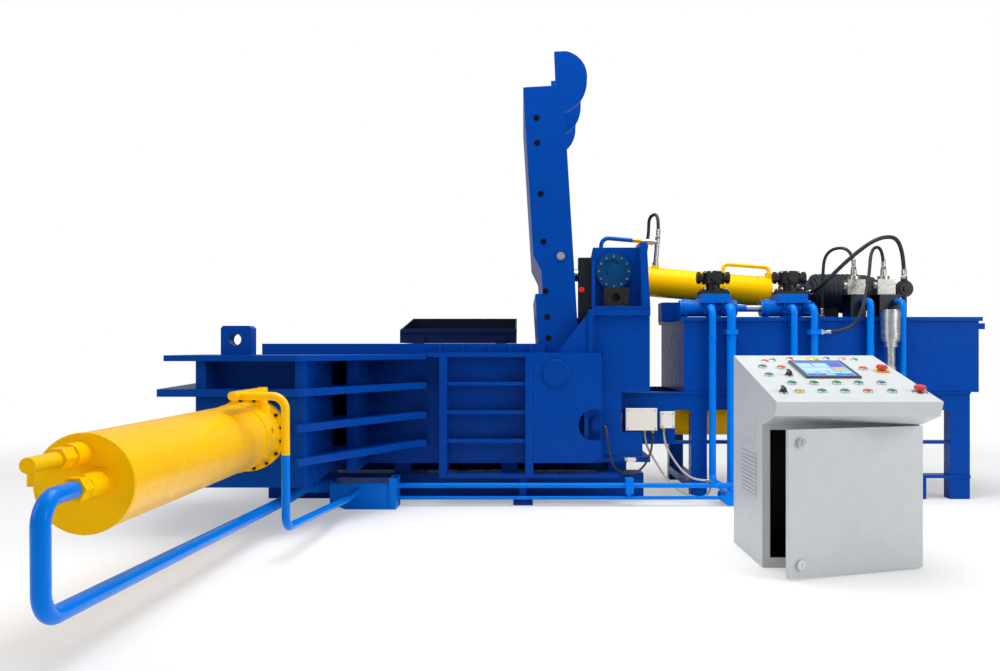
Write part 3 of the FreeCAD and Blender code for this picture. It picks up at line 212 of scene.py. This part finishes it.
def tone(tree, colour, mask, darker, lighter):
    """colour made darker or lighter by a 0 to 1 mask, between two brightness factors."""
    value = add(tree, "ShaderNodeMapRange", {0: mask, 1: 0.3, 2: 0.7, 3: darker, 4: lighter})
    return add(tree, "ShaderNodeHueSaturation", {
        "Color": colour, "Value": value.outputs[0]}).outputs[0]


def painted(tree, colour, zones, place):
    """The colour of each zone, laid over the ground colour."""
    ground = add(tree, "ShaderNodeRGB").outputs[0]
    ground.default_value = linear(colour)
    for limits, other in zones:
        ground = add(tree, "ShaderNodeMix", {
            0: inside(tree, place, limits), 6: ground, 7: linear(other)},
            data_type="RGBA").outputs[2]
    return ground


def steel_in(tree, place, zones, inside_value, outside_value):
    """A shader number that differs inside the zones that are bare metal."""
    value = outside_value
    for limits in zones:
        value = add(tree, "ShaderNodeMix", {
            0: inside(tree, place, limits), 2: value, 3: inside_value}).outputs[0]
    return value


def wire(tree, shader, socket, value):
    """Set a shader socket to a number or to a node's output."""
    if isinstance(value, (int, float)):
        shader.inputs[socket].default_value = value
    else:
        tree.links.new(value, shader.inputs[socket])


def enamel(name, colour, zones=(), metal_zones=(), gloss=0.28, peel=0.008):
    """Sprayed machine enamel on welded plate: glossy, with a fine orange peel.

    The film is even but pools a little, so the tone drifts over some 300 mm and the gloss
    over some 60 mm. Orange peel is 3 mm across on the real coat and drawn at 5 mm.
    """
    made, tree, shader, place = new_finish(name)
    wide = blotches(tree, place, 320)
    near = blotches(tree, place, 60, 3)
    ground = painted(tree, colour, zones, place)
    tree.links.new(tone(tree, ground, wide, 0.975, 1.02), shader.inputs["Base Color"])
    rough = add(tree, "ShaderNodeMapRange", {0: near, 1: 0.3, 2: 0.7, 3: gloss - 0.03,
                                             4: gloss + 0.05}).outputs[0]
    wire(tree, shader, "Roughness", steel_in(tree, place, metal_zones, 0.32, rough))
    wire(tree, shader, "Metallic", steel_in(tree, place, metal_zones, 1.0, 0.0))
    bumps = blotches(tree, place, 5, 1)
    bump = add(tree, "ShaderNodeBump", {"Strength": peel, "Distance": 0.001,
                                        "Height": bumps}).outputs[0]
    tree.links.new(bump, shader.inputs["Normal"])
    shade = linear(colour)
    shader.inputs["Specular IOR Level"].default_value = 0.3
    shader.inputs["Specular Tint"].default_value = [
        0.2 + 0.8 * channel / max(shade[:3]) for channel in shade[:3]] + [1.0]
    return made


def bare_metal(name, colour, rough=0.32, zones=(), grain=2.0, lay="Z"):
    """Turned or brushed steel: fine tool marks across one axis, with uneven gloss.

    The marks are 0.2 mm apart on the real piece and drawn about 2 mm apart.
    """
    made, tree, shader, place = new_finish(name)
    stretch = [1 / (40 * MM)] * 3
    stretch["XYZ".index(lay)] = 1 / (grain * MM)
    marks_at = add(tree, "ShaderNodeMapping", {"Vector": place, "Scale": stretch}).outputs[0]
    marks = add(tree, "ShaderNodeTexNoise", {"Vector": marks_at, "Scale": 1.0,
                                             "Detail": 2.0}).outputs[0]
    ground = painted(tree, colour, zones, place)
    tree.links.new(tone(tree, ground, marks, 0.82, 1.1), shader.inputs["Base Color"])
    wire(tree, shader, "Roughness", add(tree, "ShaderNodeMapRange", {
        0: blotches(tree, place, 30), 1: 0.3, 2: 0.7, 3: rough - 0.07,
        4: rough + 0.12}).outputs[0])
    bump = add(tree, "ShaderNodeBump", {"Strength": 0.12, "Distance": 0.0005,
                                        "Height": marks}).outputs[0]
    tree.links.new(bump, shader.inputs["Normal"])
    shader.inputs["Metallic"].default_value = 1.0
    return made


def moulded(name, colour, rough=0.5, grain=1.2, strength=0.1, zones=(), coat=0.0):
    """Moulded plastic, rubber or powder coat: a fine even grain and a soft sheen."""
    made, tree, shader, place = new_finish(name)
    ground = painted(tree, colour, zones, place)
    tree.links.new(tone(tree, ground, blotches(tree, place, 90), 0.975, 1.02),
                   shader.inputs["Base Color"])
    fine = blotches(tree, place, grain, 2)
    wire(tree, shader, "Roughness", add(tree, "ShaderNodeMapRange", {
        0: fine, 1: 0.3, 2: 0.7, 3: rough - 0.05, 4: rough + 0.08}).outputs[0])
    bump = add(tree, "ShaderNodeBump", {"Strength": strength, "Distance": 0.0004,
                                        "Height": fine}).outputs[0]
    tree.links.new(bump, shader.inputs["Normal"])
    shader.inputs["Coat Weight"].default_value = coat
    return made


def lit(name, colour, strength):
    """A backlit field behind clear acrylic: its own light with a glossy face."""
    made, tree, shader, place = new_finish(name)
    shade = tone(tree, painted(tree, colour, (), place), blotches(tree, place, 25), 0.9, 1.08)
    tree.links.new(shade, shader.inputs["Base Color"])
    tree.links.new(shade, shader.inputs["Emission Color"])
    shader.inputs["Emission Strength"].default_value = strength
    shader.inputs["Roughness"].default_value = 0.15
    return made


# Colours, and the zones of a node that are of another finish, as {axis: (low, high)}. The zones
# inside the cabinet and the feed bin are painted shade.
BLUE, YELLOW, PIPE, STEEL = "#003f98", "#ffc400", "#0079e4", "#b9b8b2"
GREY = "#c6cacb"
UNION = {"X": (1692, 1798)}
FITTING, TEE = {"X": (893, 975)}, {"X": (975, 1200)}
KNOB = {"Y": (195, 235)}
SILVER_PIN = {"Z": (1742, 1860)}
TRUNNION_DISCS = {"Z": (1500, 1900)}
# The inside of the console cabinet is painted near-black: painted shade for the shade in its
# hollow.
SHADED_CABINET_INSIDE = {"X": (1226, 2004), "Y": (-1847, -1254), "Z": (11, 730)}
# The inside of the feed bin is painted near-black: painted shade for the shade in its hollow.
SHADED_BIN_INSIDE = {"X": (-1103, -71), "Y": (1799, 2692), "Z": (1182, 1460)}

blue_enamel = enamel("blue_gloss_enamel", BLUE)
yellow_enamel = enamel("yellow_gloss_enamel", YELLOW, gloss=0.24)
pipe_enamel = enamel("pipe_blue_enamel", PIPE, gloss=0.2, peel=0.01)
# Dark navy bin enamel, with its inside painted near-black as painted shade.
bin_enamel_with_painted_shade = enamel("bin_enamel_with_painted_shade", "#152750", [(SHADED_BIN_INSIDE, "#101113")], gloss=0.4)
black_iron = bare_metal("blacked_cast_iron", "#3a3a3b", rough=0.45, grain=3)
zinc = bare_metal("zinc_plated_steel", STEEL, rough=0.28)
chrome_bar = bare_metal("ground_chrome_bar", "#cfd2d6", rough=0.1, grain=1.5, lay="X")
console_coat = moulded("grey_powder_coat", GREY, rough=0.42, grain=1.6, strength=0.16)
rubber = moulded("hydraulic_hose_rubber", "#1b1c1d", rough=0.55, grain=3, strength=0.35)
grey_sheath = moulded("grey_cable_sheath", "#b4afa6", rough=0.5)
black_sheath = moulded("black_cable_sheath", "#26282b", rough=0.5)
box_plastic = moulded("grey_abs_box", "#e2dccf", rough=0.45)
bezel_chrome = bare_metal("chromed_bezel", "#d5d6d8", rough=0.14, grain=1)
black_knob = moulded("black_phenolic_knob", "#161618", rough=0.35, coat=0.3)

FINISH = {
    "side_cylinder": yellow_enamel, "lid_cylinder": yellow_enamel,
    "main_cylinder": yellow_enamel,
    "side_feed_pipe": pipe_enamel, "pipework": pipe_enamel,
    "side_return_pipe": enamel("pipe_paint_split", PIPE, [({"Z": (559, 2000)}, YELLOW)],
                               gloss=0.2, peel=0.01),
    "lid_feed_pipe": enamel("feed_pipe_paint", "#0456b8",
                            [(FITTING, "#d9a520"), (TEE, STEEL)], [FITTING, TEE], gloss=0.2),
    "valve_manifolds": enamel("manifold_paint", "#0560c0",
                              [(UNION, STEEL), ({"X": (2440, 2900)}, "#3a3c3f")],
                              [UNION, {"X": (2440, 2900)}], gloss=0.24),
    "pivot_shaft": zinc, "lid_fasteners": bare_metal("bolt_steel", "#222326", 0.4,
                                                     [(SILVER_PIN, STEEL)]),
    "lid_rod": chrome_bar, "main_ram": enamel("ram_paint", "#03459a", gloss=0.35),
    "feed_bin": bin_enamel_with_painted_shade, "flange_valves": black_iron, "relief_valves": zinc,
    "oil_filter": bare_metal("cast_aluminium", "#c9cbcc", rough=0.3, grain=2.5),
    "pump_motor": enamel("motor_paint", "#24282d", gloss=0.42, peel=0.06),
    "switch_column": enamel("column_paint", "#15171b", [(KNOB, "#e0161a")], gloss=0.35),
    "pin_covers": enamel("cover_paint", BLUE, [(TRUNNION_DISCS, "#0b4472")]),
    "junction_boxes": box_plastic,
    # The cabinet's inside is painted near-black: painted shade in its hollow.
    "console_cabinet": moulded("cabinet_coat_with_painted_shade", GREY, rough=0.42, grain=1.6, strength=0.16,
                               zones=[(SHADED_CABINET_INSIDE, "#141516")]),
    "console_door": console_coat, "door_lock_upper": bezel_chrome,
    "door_lock_lower": bezel_chrome,
    "touch_screen": moulded("screen_frame_plastic", "#3b4350", rough=0.3, coat=0.3),
    "button_bezels": bezel_chrome,
    "selector_mode": black_knob, "selector_power": black_knob,
}
BUTTON_COLOURS = {
    "green": ("#0b8a4a", ("start", "pump", "lid_raise", "lid_lower", "ram_out", "ram_back",
                          "gate_open", "gate_close")),
    "orange": ("#e2571a", ("stop", "reset", "feed_on")),
    "yellow": ("#f2b705", ("side_back",)),
    "teal": ("#2f86a0", ("side_out", "feed_off")),
}
for colour, (code, buttons) in BUTTON_COLOURS.items():
    cap = moulded(colour + "_acetal_cap", code, rough=0.25, strength=0.04, coat=0.4)
    FINISH.update({"button_" + name: cap for name in buttons})
mushroom = moulded("red_mushroom_cap", "#d4100f", rough=0.22, strength=0.03, coat=0.5)
FINISH.update(stop_upper=mushroom, stop_lower=mushroom)


def dress(name, thing):
    """Finish a CAD node: its welded copy gets planar faces and softly rounded edges."""
    thing.data.materials.clear()
    thing.data.materials.append(FINISH.get(name, blue_enamel))
    thing.data.polygons.foreach_set("use_smooth", [True] * len(thing.data.polygons))
    size = max(high - low for low, high in zip(*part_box(name)))
    width = 2.2 if size > 0.6 else (1.0 if size > 0.12 else 0.5)
    weld = thing.modifiers.new("weld", "WELD")
    weld.merge_threshold = 1e-5
    flat = thing.modifiers.new("flat", "DECIMATE")
    flat.decimate_type = "DISSOLVE"
    flat.angle_limit = math.radians(0.5)
    edge = thing.modifiers.new("edge", "BEVEL")
    edge.width = width * MM
    edge.segments = 2
    edge.limit_method = "ANGLE"
    edge.angle_limit = math.radians(35)
    edge.harden_normals = True
    thing.modifiers.new("even", "WEIGHTED_NORMAL")


for name, thing in nodes.items():
    if name not in cords:
        dress(name, thing)
for name, cord in cords.items():
    sheath = {"hose_rubber": rubber, "cable_grey": grey_sheath}.get(CORDS[name][1],
                                                                    black_sheath)
    cord.data.materials.append(sheath)


# ------------------------------------------------------------------------ new surfaces
def shell(rings):
    """A closed skin over a stack of rings, an (n, m, 3) array.

    Quads join each ring to the next, and one flat face closes each end.
    """
    count, around = rings.shape[:2]
    index = np.arange(count * around).reshape(count, around)
    right = np.roll(index, -1, axis=1)
    quads = np.stack([index[:-1], right[:-1], right[1:], index[1:]], axis=-1)
    ends = [index[0][::-1].tolist(), index[-1].tolist()]
    return rings.reshape(-1, 3), quads.reshape(-1, 4).tolist() + ends


def axes_for(direction):
    """Three unit rows: two across the direction, and the direction itself."""
    along = np.array(direction, float) / np.linalg.norm(direction)
    helper = np.array([0.0, 0.0, 1.0]) if abs(along[2]) < 0.9 else np.array([1.0, 0.0, 0.0])
    across = np.cross(helper, along)
    across /= np.linalg.norm(across)
    return np.array([across, np.cross(along, across), along])


def turned(profile, sides, place, direction, ripple=None):
    """A profile of (radius, height) turned about an axis through place.

    Point = place + height * axis + radius * (cos t * u + sin t * v), where ripple, if given,
    is a function of t and height that scales the radius.
    """
    profile = np.array(profile, float)
    angle = np.linspace(0, 2 * math.pi, sides, endpoint=False)
    radius = np.broadcast_to(profile[:, :1], (len(profile), sides))
    height = np.broadcast_to(profile[:, 1:], (len(profile), sides))
    if ripple:
        radius = radius * ripple(angle[None, :], height)
    local = np.stack([radius * np.cos(angle), radius * np.sin(angle), height], axis=-1)
    return shell(np.array(place, float) + local @ axes_for(direction))


def slab(centre, right, up, width, height, corner, rings):
    """A rounded rectangle carried through (inset, lift) rings above a plane.

    Each ring is four corner arcs: centre of arc + r * (cos t, sin t), with r = corner - inset.
    """
    steps = 4
    centre, right, up = (np.array(v, float) for v in (centre, right, up))
    out = np.cross(right, up)
    angle = (np.arange(4)[:, None] * math.pi / 2
             + np.linspace(0, math.pi / 2, steps)[None, :]).ravel()
    sign_x = np.repeat([1, -1, -1, 1], steps)
    sign_y = np.repeat([1, 1, -1, -1], steps)
    stack = []
    for inset, lift in rings:
        arc = max(corner - inset, 0.3)
        x = sign_x * (width / 2 - inset - arc) + arc * np.cos(angle)
        y = sign_y * (height / 2 - inset - arc) + arc * np.sin(angle)
        stack.append(centre + x[:, None] * right + y[:, None] * up + lift * out)
    return shell(np.array(stack))


def weld_bead(start, end, radius=5.0, pitch=9.0):
    """A fillet weld: a round cord along a line whose radius swells once each pitch.

    rho(s) = radius * (0.88 + 0.12 * |sin(pi * s / pitch)|), closed to a point at both ends.
    """
    start, end = np.array(start, float), np.array(end, float)
    length = np.linalg.norm(end - start)
    stations = np.linspace(0, length, int(length / pitch * 3) + 2)
    rho = radius * (0.88 + 0.12 * np.abs(np.sin(math.pi * stations / pitch)))
    rho[0] = rho[-1] = radius * 0.2
    angle = np.linspace(0, 2 * math.pi, 8, endpoint=False)
    across, lift, along = axes_for(end - start)
    ring = np.cos(angle)[:, None] * across + np.sin(angle)[:, None] * lift
    return shell(start + stations[:, None, None] * along + rho[:, None, None] * ring)


def ring_bead(centre, direction, ring_radius, radius=6.0, pitch=10.0):
    """A weld bead round a tube: a torus whose section swells once each pitch."""
    across, lift, along = axes_for(direction)
    count = int(2 * math.pi * ring_radius / pitch) * 3
    turn = np.linspace(0, 2 * math.pi, count, endpoint=False)
    rho = radius * (0.86 + 0.14 * np.abs(np.sin(turn * count / 6)))
    angle = np.linspace(0, 2 * math.pi, 8, endpoint=False)
    outward = np.cos(turn)[:, None] * across + np.sin(turn)[:, None] * lift
    rings = (np.array(centre, float) + ring_radius * outward[:, None, :]
             + rho[:, None, None] * (np.cos(angle)[None, :, None] * outward[:, None, :]
                                     + np.sin(angle)[None, :, None] * along))
    index = np.arange(count * 8).reshape(count, 8)
    ahead, right = np.roll(index, -1, axis=0), np.roll(index, -1, axis=1)
    both = np.roll(ahead, -1, axis=1)
    quads = np.stack([index, right, both, ahead], axis=-1).reshape(-1, 4)
    return rings.reshape(-1, 3), quads.tolist()


def socket_screw(place, direction, radius, height):
    """A socket-head cap screw: a knurled drum with a round socket sunk in its crown."""
    knurl = lambda t, h: 1 + 0.02 * np.sign(np.sin(24 * t)) * (h < height * 0.8)
    rim = turned([(radius, 0), (radius, height * 0.85), (radius * 0.9, height),
                  (radius * 0.55, height), (radius * 0.5, height * 0.45)], 24,
                 place, direction, knurl)
    return [rim]


def piece(name, body, shells, finishes, smooth=True):
    """One object from shells, a list of (vertices, faces, finish number) in millimetres."""
    points, faces, picks, first = [], [], [], 0
    for vertices, skin, pick in shells:
        points.append(vertices)
        faces += [[first + i for i in face] for face in skin]
        picks += [pick] * len(skin)
        first += len(vertices)
    mesh = bpy.data.meshes.new(name)
    mesh.from_pydata(np.concatenate(points) * MM, [], faces)
    mesh.polygons.foreach_set("material_index", picks)
    work = bmesh.new()
    work.from_mesh(mesh)
    bmesh.ops.remove_doubles(work, verts=work.verts, dist=1e-6)
    bmesh.ops.recalc_face_normals(work, faces=work.faces)
    for edge in work.edges:
        edge.smooth = edge.calc_face_angle(0.0) < math.radians(35)
    work.to_mesh(mesh)
    work.free()
    for finish in finishes:
        mesh.materials.append(finish)
    mesh.polygons.foreach_set("use_smooth", [smooth] * len(mesh.polygons))
    made = bpy.data.objects.new(name, mesh)
    scene.collection.objects.link(made)
    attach(made, body)
    return made


# -------------------------------------------------------------------- hose and cable ends
def crimped_end(place, inward, radius):
    """A swivel nut and a crimped ferrule on the end of a hose, with three swage grooves."""
    r = radius
    sleeve = [(r * 1.05, 34), (r * 1.3, 36)]
    for groove in (44, 54, 64):
        sleeve += [(r * 1.3, groove - 3), (r * 1.18, groove), (r * 1.3, groove + 3)]
    sleeve += [(r * 1.3, 74), (r * 1.06, 78)]
    nut = turned([(r * 1.45, 0.5), (r * 1.6, 3), (r * 1.6, 22), (r * 1.45, 25)], 6,
                 place, inward)
    neck = turned([(r * 1.1, 20), (r * 1.1, 36)], 20, place, inward)
    return [nut, neck, turned(sleeve, 28, place, inward)]


def gland(place, inward, radius):
    """A cable gland: hexagon base and domed cap."""
    r = radius
    base = turned([(r * 1.7, 0.5), (r * 1.8, 2), (r * 1.8, 8), (r * 1.7, 10)], 6,
                  place, inward)
    cap = turned([(r * 1.55, 9), (r * 1.6, 12), (r * 1.6, 20), (r * 1.35, 26),
                  (r * 1.12, 28)], 24, place, inward)
    return [base, cap]


base_ends, lid_ends, base_glands = [], [], []
for name, (body, slot, radius, length, stiffness, lay, points) in CORDS.items():
    points = np.array(points, float)
    for place, toward in ((points[0], points[1]), (points[-1], points[-2])):
        if slot == "hose_rubber":
            target = lid_ends if body == "lid_barrel" else base_ends
            target += crimped_end(place, toward - place, radius)
        else:
            base_glands += gland(place, toward - place, radius)
piece("hose_ends", "base", [(*s, 0) for s in base_ends], [zinc])
piece("lid_hose_ends", "lid_barrel", [(*s, 0) for s in lid_ends], [zinc])
piece("cable_glands", "base", [(*s, 0) for s in base_glands],
      [bare_metal("nickel_brass_gland", "#b8a06a", rough=0.3)])


# --------------------------------------------------------------------------- weld beads
beads = [ring_bead((SIDE_AXIS[0], y, SIDE_AXIS[1]), (0, 1, 0), ring)
         for y, ring in ((-3115, 184), (-1406, 188))]
piece("cylinder_welds", "base", [(*s, 0) for s in beads],
      [yellow_enamel])
seams = []
for x in STIFFENERS:
    seams.append(((x, WALL_FACE, 222), (x, WALL_FACE, 1052)))
for level in SHELF_LEVELS:
    seams += [((-540, WALL_FACE, level + side * 17), (14, WALL_FACE, level + side * 17))
              for side in (-1, 1)]
seams += [((505, 39, 1092), (505, 39, 1390)), ((562, 39, 360), (562, 39, 1050)),
          ((75, 39, 310), (75, 39, 1050))]
piece("frame_welds", "base",
      [(*weld_bead(a, b), 0) for a, b in seams], [blue_enamel])


# ------------------------------------------------------------------------ flange screws
screws = []
for turn in np.radians(np.arange(0, 360, 22.5) + 11.25):
    place = (SIDE_AXIS[0] + 203 * math.cos(turn), -1154,
             SIDE_AXIS[1] + 203 * math.sin(turn))
    screws += socket_screw(place, (0, -1, 0), 10, 14)
piece("cylinder_flange_screws", "base", [(*s, 0) for s in screws],
      [black_iron])

caps = []
for x in TOWERS:
    for turn in np.radians(np.arange(0, 360, 45) + 22.5):
        place = (x + 68 * math.cos(turn), TOWER_DEPTH + 68 * math.sin(turn), 1690)
        caps += socket_screw(place, (0, 0, 1), 11, 15)
    for a, b in ((-78, -78), (78, -78), (-78, 78), (78, 78)):
        caps += socket_screw((x + a, TOWER_DEPTH + b, 1562), (0, 0, 1), 12, 16)
for turn in np.radians(np.arange(0, 360, 30)):
    place = (TRUNNION[0] + 112 * math.cos(turn), 320, TRUNNION[2] + 112 * math.sin(turn))
    caps += socket_screw(place, (0, -1, 0), 8, 10)
piece("valve_screws", "base", [(*s, 0) for s in caps], [zinc])

ring = []
for turn in np.radians(np.arange(0, 360, 30)):
    place = (WINDOW[0] + 56 * math.cos(turn), WINDOW[1], WINDOW[2] + 56 * math.sin(turn))
    ring += socket_screw(place, (0, -1, 0), 7, 9)
piece("window_screws", "base", [(*s, 0) for s in ring], [blue_enamel])


# --------------------------------------------------------------------- junction box lids
lids = []
for x0, x1, y, z0, z1 in ((751, 981, 149, 518, 682), (1010, 1116, 187, 532, 656)):
    centre = ((x0 + x1) / 2, y, (z0 + z1) / 2)
    lids.append((*slab(centre, (1, 0, 0), (0, 0, 1), x1 - x0 - 4, z1 - z0 - 4, 10,
                       [(0, -1), (0, 5), (2.5, 8), (12, 8), (13.5, 6.5)]), 0))
    for x in (x0 + 15, x1 - 15):
        for z in (z0 + 15, z1 - 15):
            lids.append((*turned([(6, 5), (6, 9), (5, 10.4), (3.2, 10.4), (2.6, 8.8)], 16,
                                 (x, y, z), (0, -1, 0)), 1))
piece("box_lids", "base", lids, [box_plastic, zinc])


# ------------------------------------------------------------------------- control desk
LAMPS = ((143, 769, "#d8201c"), (191, 790, "#0c9a4c"), (298, 823, "#d8201c"),
         (428, 818, "#f4c20a"), (506, 823, "#1f6fd0"), (594, 823, "#ef8fa0"),
         (657, 801, "#0c9a4c"))
lamp_shells, lamp_finishes = [], [bezel_chrome]
for across, up, code in LAMPS:
    wide = 26 if across == 428 else 16
    at = desk_point(across, up)
    lamp_shells.append((*turned([(wide + 3.6, 0), (wide + 4, 1), (wide + 4, 4),
                                 (wide + 2.6, 5), (wide, 5)], 32, at, DESK_OUT), 0))
    dome = [(wide * math.cos(t), 5 + 8 * math.sin(t)) for t in np.linspace(0, 1.45, 7)]
    lamp_shells.append((*turned([(wide, 4)] + dome, 32, at, DESK_OUT,
                                lambda t, h: 1 + 0.015 * np.cos(16 * t) * (h < 9)),
                        len(lamp_finishes)))
    lamp_finishes.append(moulded("lamp_lens_%d" % across, code, rough=0.12, strength=0.02,
                                 coat=0.6))
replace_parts(piece("desk_lamps", "base", lamp_shells, lamp_finishes),
            "pilot_lamps")

# Screen fields: (across, up, width, height, finish) on the pane, which is 257 by 296.
field_finishes = [lit("field_sky", "#5f9fe0", 0.25), lit("field_white", "#a9c6f0", 0.25),
                  lit("field_violet", "#5a52b8", 0.25), lit("field_blue", "#2460c4", 0.25),
                  lit("field_mint", "#7cc4b4", 0.25), lit("field_amber", "#d8a24a", 0.25)]
PANE = (283, 433)
FIELDS = [(0, 0, 257, 296, 0), (8, 262, 241, 26, 3), (8, 176, 74, 78, 1),
          (92, 176, 74, 78, 1), (176, 176, 73, 78, 2), (8, 92, 157, 74, 1),
          (176, 92, 73, 34, 4), (176, 132, 73, 34, 5)]
FIELDS += [(8 + 49 * i, 10, 43, 30, (3, 2, 4, 3, 2)[i]) for i in range(5)]
FIELDS += [(8 + 62 * i, 50, 55, 30, 1) for i in range(4)]
tiles = []
for rank, (across, up, wide, high, pick) in enumerate(FIELDS):
    centre = desk_point(PANE[0] + across + wide / 2, PANE[1] + up + high / 2, 11.0)
    lift = 0.5 if rank == 0 else 0.8
    tiles.append((*slab(centre, DESK_RIGHT, DESK_UP, wide, high, 3,
                        [(0, -0.2), (0, lift - 0.1), (0.3, lift)]), pick))
piece("screen_fields", "base", tiles, field_finishes, smooth=False)

ring = [(*turned([(39, 3), (42, 3.6), (42, 4.4), (39, 5), (36, 5)], 40,
                 desk_point(718, 562), DESK_OUT), 0)]
piece("stop_guard_ring", "base", ring,
      [moulded("yellow_guard_ring", "#f5c400", rough=0.3)])


# -------------------------------------------------------------------- floor and daylight
def pale_room():
    """A pale floor that fades to white far out, and a white surround that also gives a soft
    fill light.
    """
    world = scene.world or bpy.data.worlds.new("daylight")
    scene.world = world
    world.use_nodes = True
    tree = world.node_tree
    tree.nodes.clear()
    rays = add(tree, "ShaderNodeLightPath")
    seen = add(tree, "ShaderNodeMath", {0: rays.outputs["Is Camera Ray"],
                                        1: rays.outputs["Is Transmission Ray"]},
               operation="MAXIMUM").outputs[0]
    plain = add(tree, "ShaderNodeBackground", {0: linear("#f4f6fa"), 1: 0.4})
    white = add(tree, "ShaderNodeBackground", {0: (1, 1, 1, 1), 1: 1.0})
    mixed = add(tree, "ShaderNodeMixShader", {0: seen, 1: plain.outputs[0],
                                              2: white.outputs[0]})
    add(tree, "ShaderNodeOutputWorld", {0: mixed.outputs[0]})

    made = bpy.data.materials.new("pale_floor")
    made.use_nodes = True
    tree = made.node_tree
    tree.nodes.clear()
    place = add(tree, "ShaderNodeTexCoord").outputs["Object"]
    far = add(tree, "ShaderNodeVectorMath", {0: place}, operation="LENGTH").outputs["Value"]
    fade = add(tree, "ShaderNodeMapRange", {0: far, 1: 3.4, 2: 8.0, 3: 0.35, 4: 1.0},
               interpolation_type="SMOOTHSTEP").outputs[0]
    rays = add(tree, "ShaderNodeLightPath")
    share = add(tree, "ShaderNodeMath", {0: fade, 1: rays.outputs["Is Camera Ray"]},
                operation="MULTIPLY").outputs[0]
    matt = add(tree, "ShaderNodeBsdfDiffuse", {0: linear("#f2f2f2")})
    glow = add(tree, "ShaderNodeEmission", {0: (1, 1, 1, 1), 1: 1.0})
    mixed = add(tree, "ShaderNodeMixShader", {0: share, 1: matt.outputs[0],
                                              2: glow.outputs[0]})
    add(tree, "ShaderNodeOutputMaterial", {0: mixed.outputs[0]})
    half = 30
    mesh = bpy.data.meshes.new("floor")
    mesh.from_pydata([(-half, -half, 0), (half, -half, 0), (half, half, 0),
                      (-half, half, 0)], [], [(0, 1, 2, 3)])
    mesh.materials.append(made)
    floor = bpy.data.objects.new("floor", mesh)
    floor.location = (0, 0, -0.002)
    scene.collection.objects.link(floor)


def add_lamp(name, place, aim, size, power):
    """A square soft box at place, in metres, turned to face aim."""
    light = bpy.data.lights.new(name, "AREA")
    light.size = size
    light.energy = power
    lamp = bpy.data.objects.new(name, light)
    scene.collection.objects.link(lamp)
    lamp.matrix_world = facing(place, aim)


def facing(place, aim):
    """A transform at place whose -Z looks at aim."""
    back = (Vector(place) - Vector(aim)).normalized()
    turn = back.to_track_quat("Z", "Y").to_matrix().to_4x4()
    return Matrix.Translation(place) @ turn


pale_room()
add_lamp("top_box", (0.5, -0.5, 6.5), (0, 0.6, 0.6), 5.0, 450)
add_lamp("right_box", (6.5, -5.0, 3.6), (0.5, 0.0, 0.9), 3.0, 190)
add_lamp("left_box", (-5.5, -4.5, 3.2), (0.0, 0.5, 0.9), 3.0, 70)
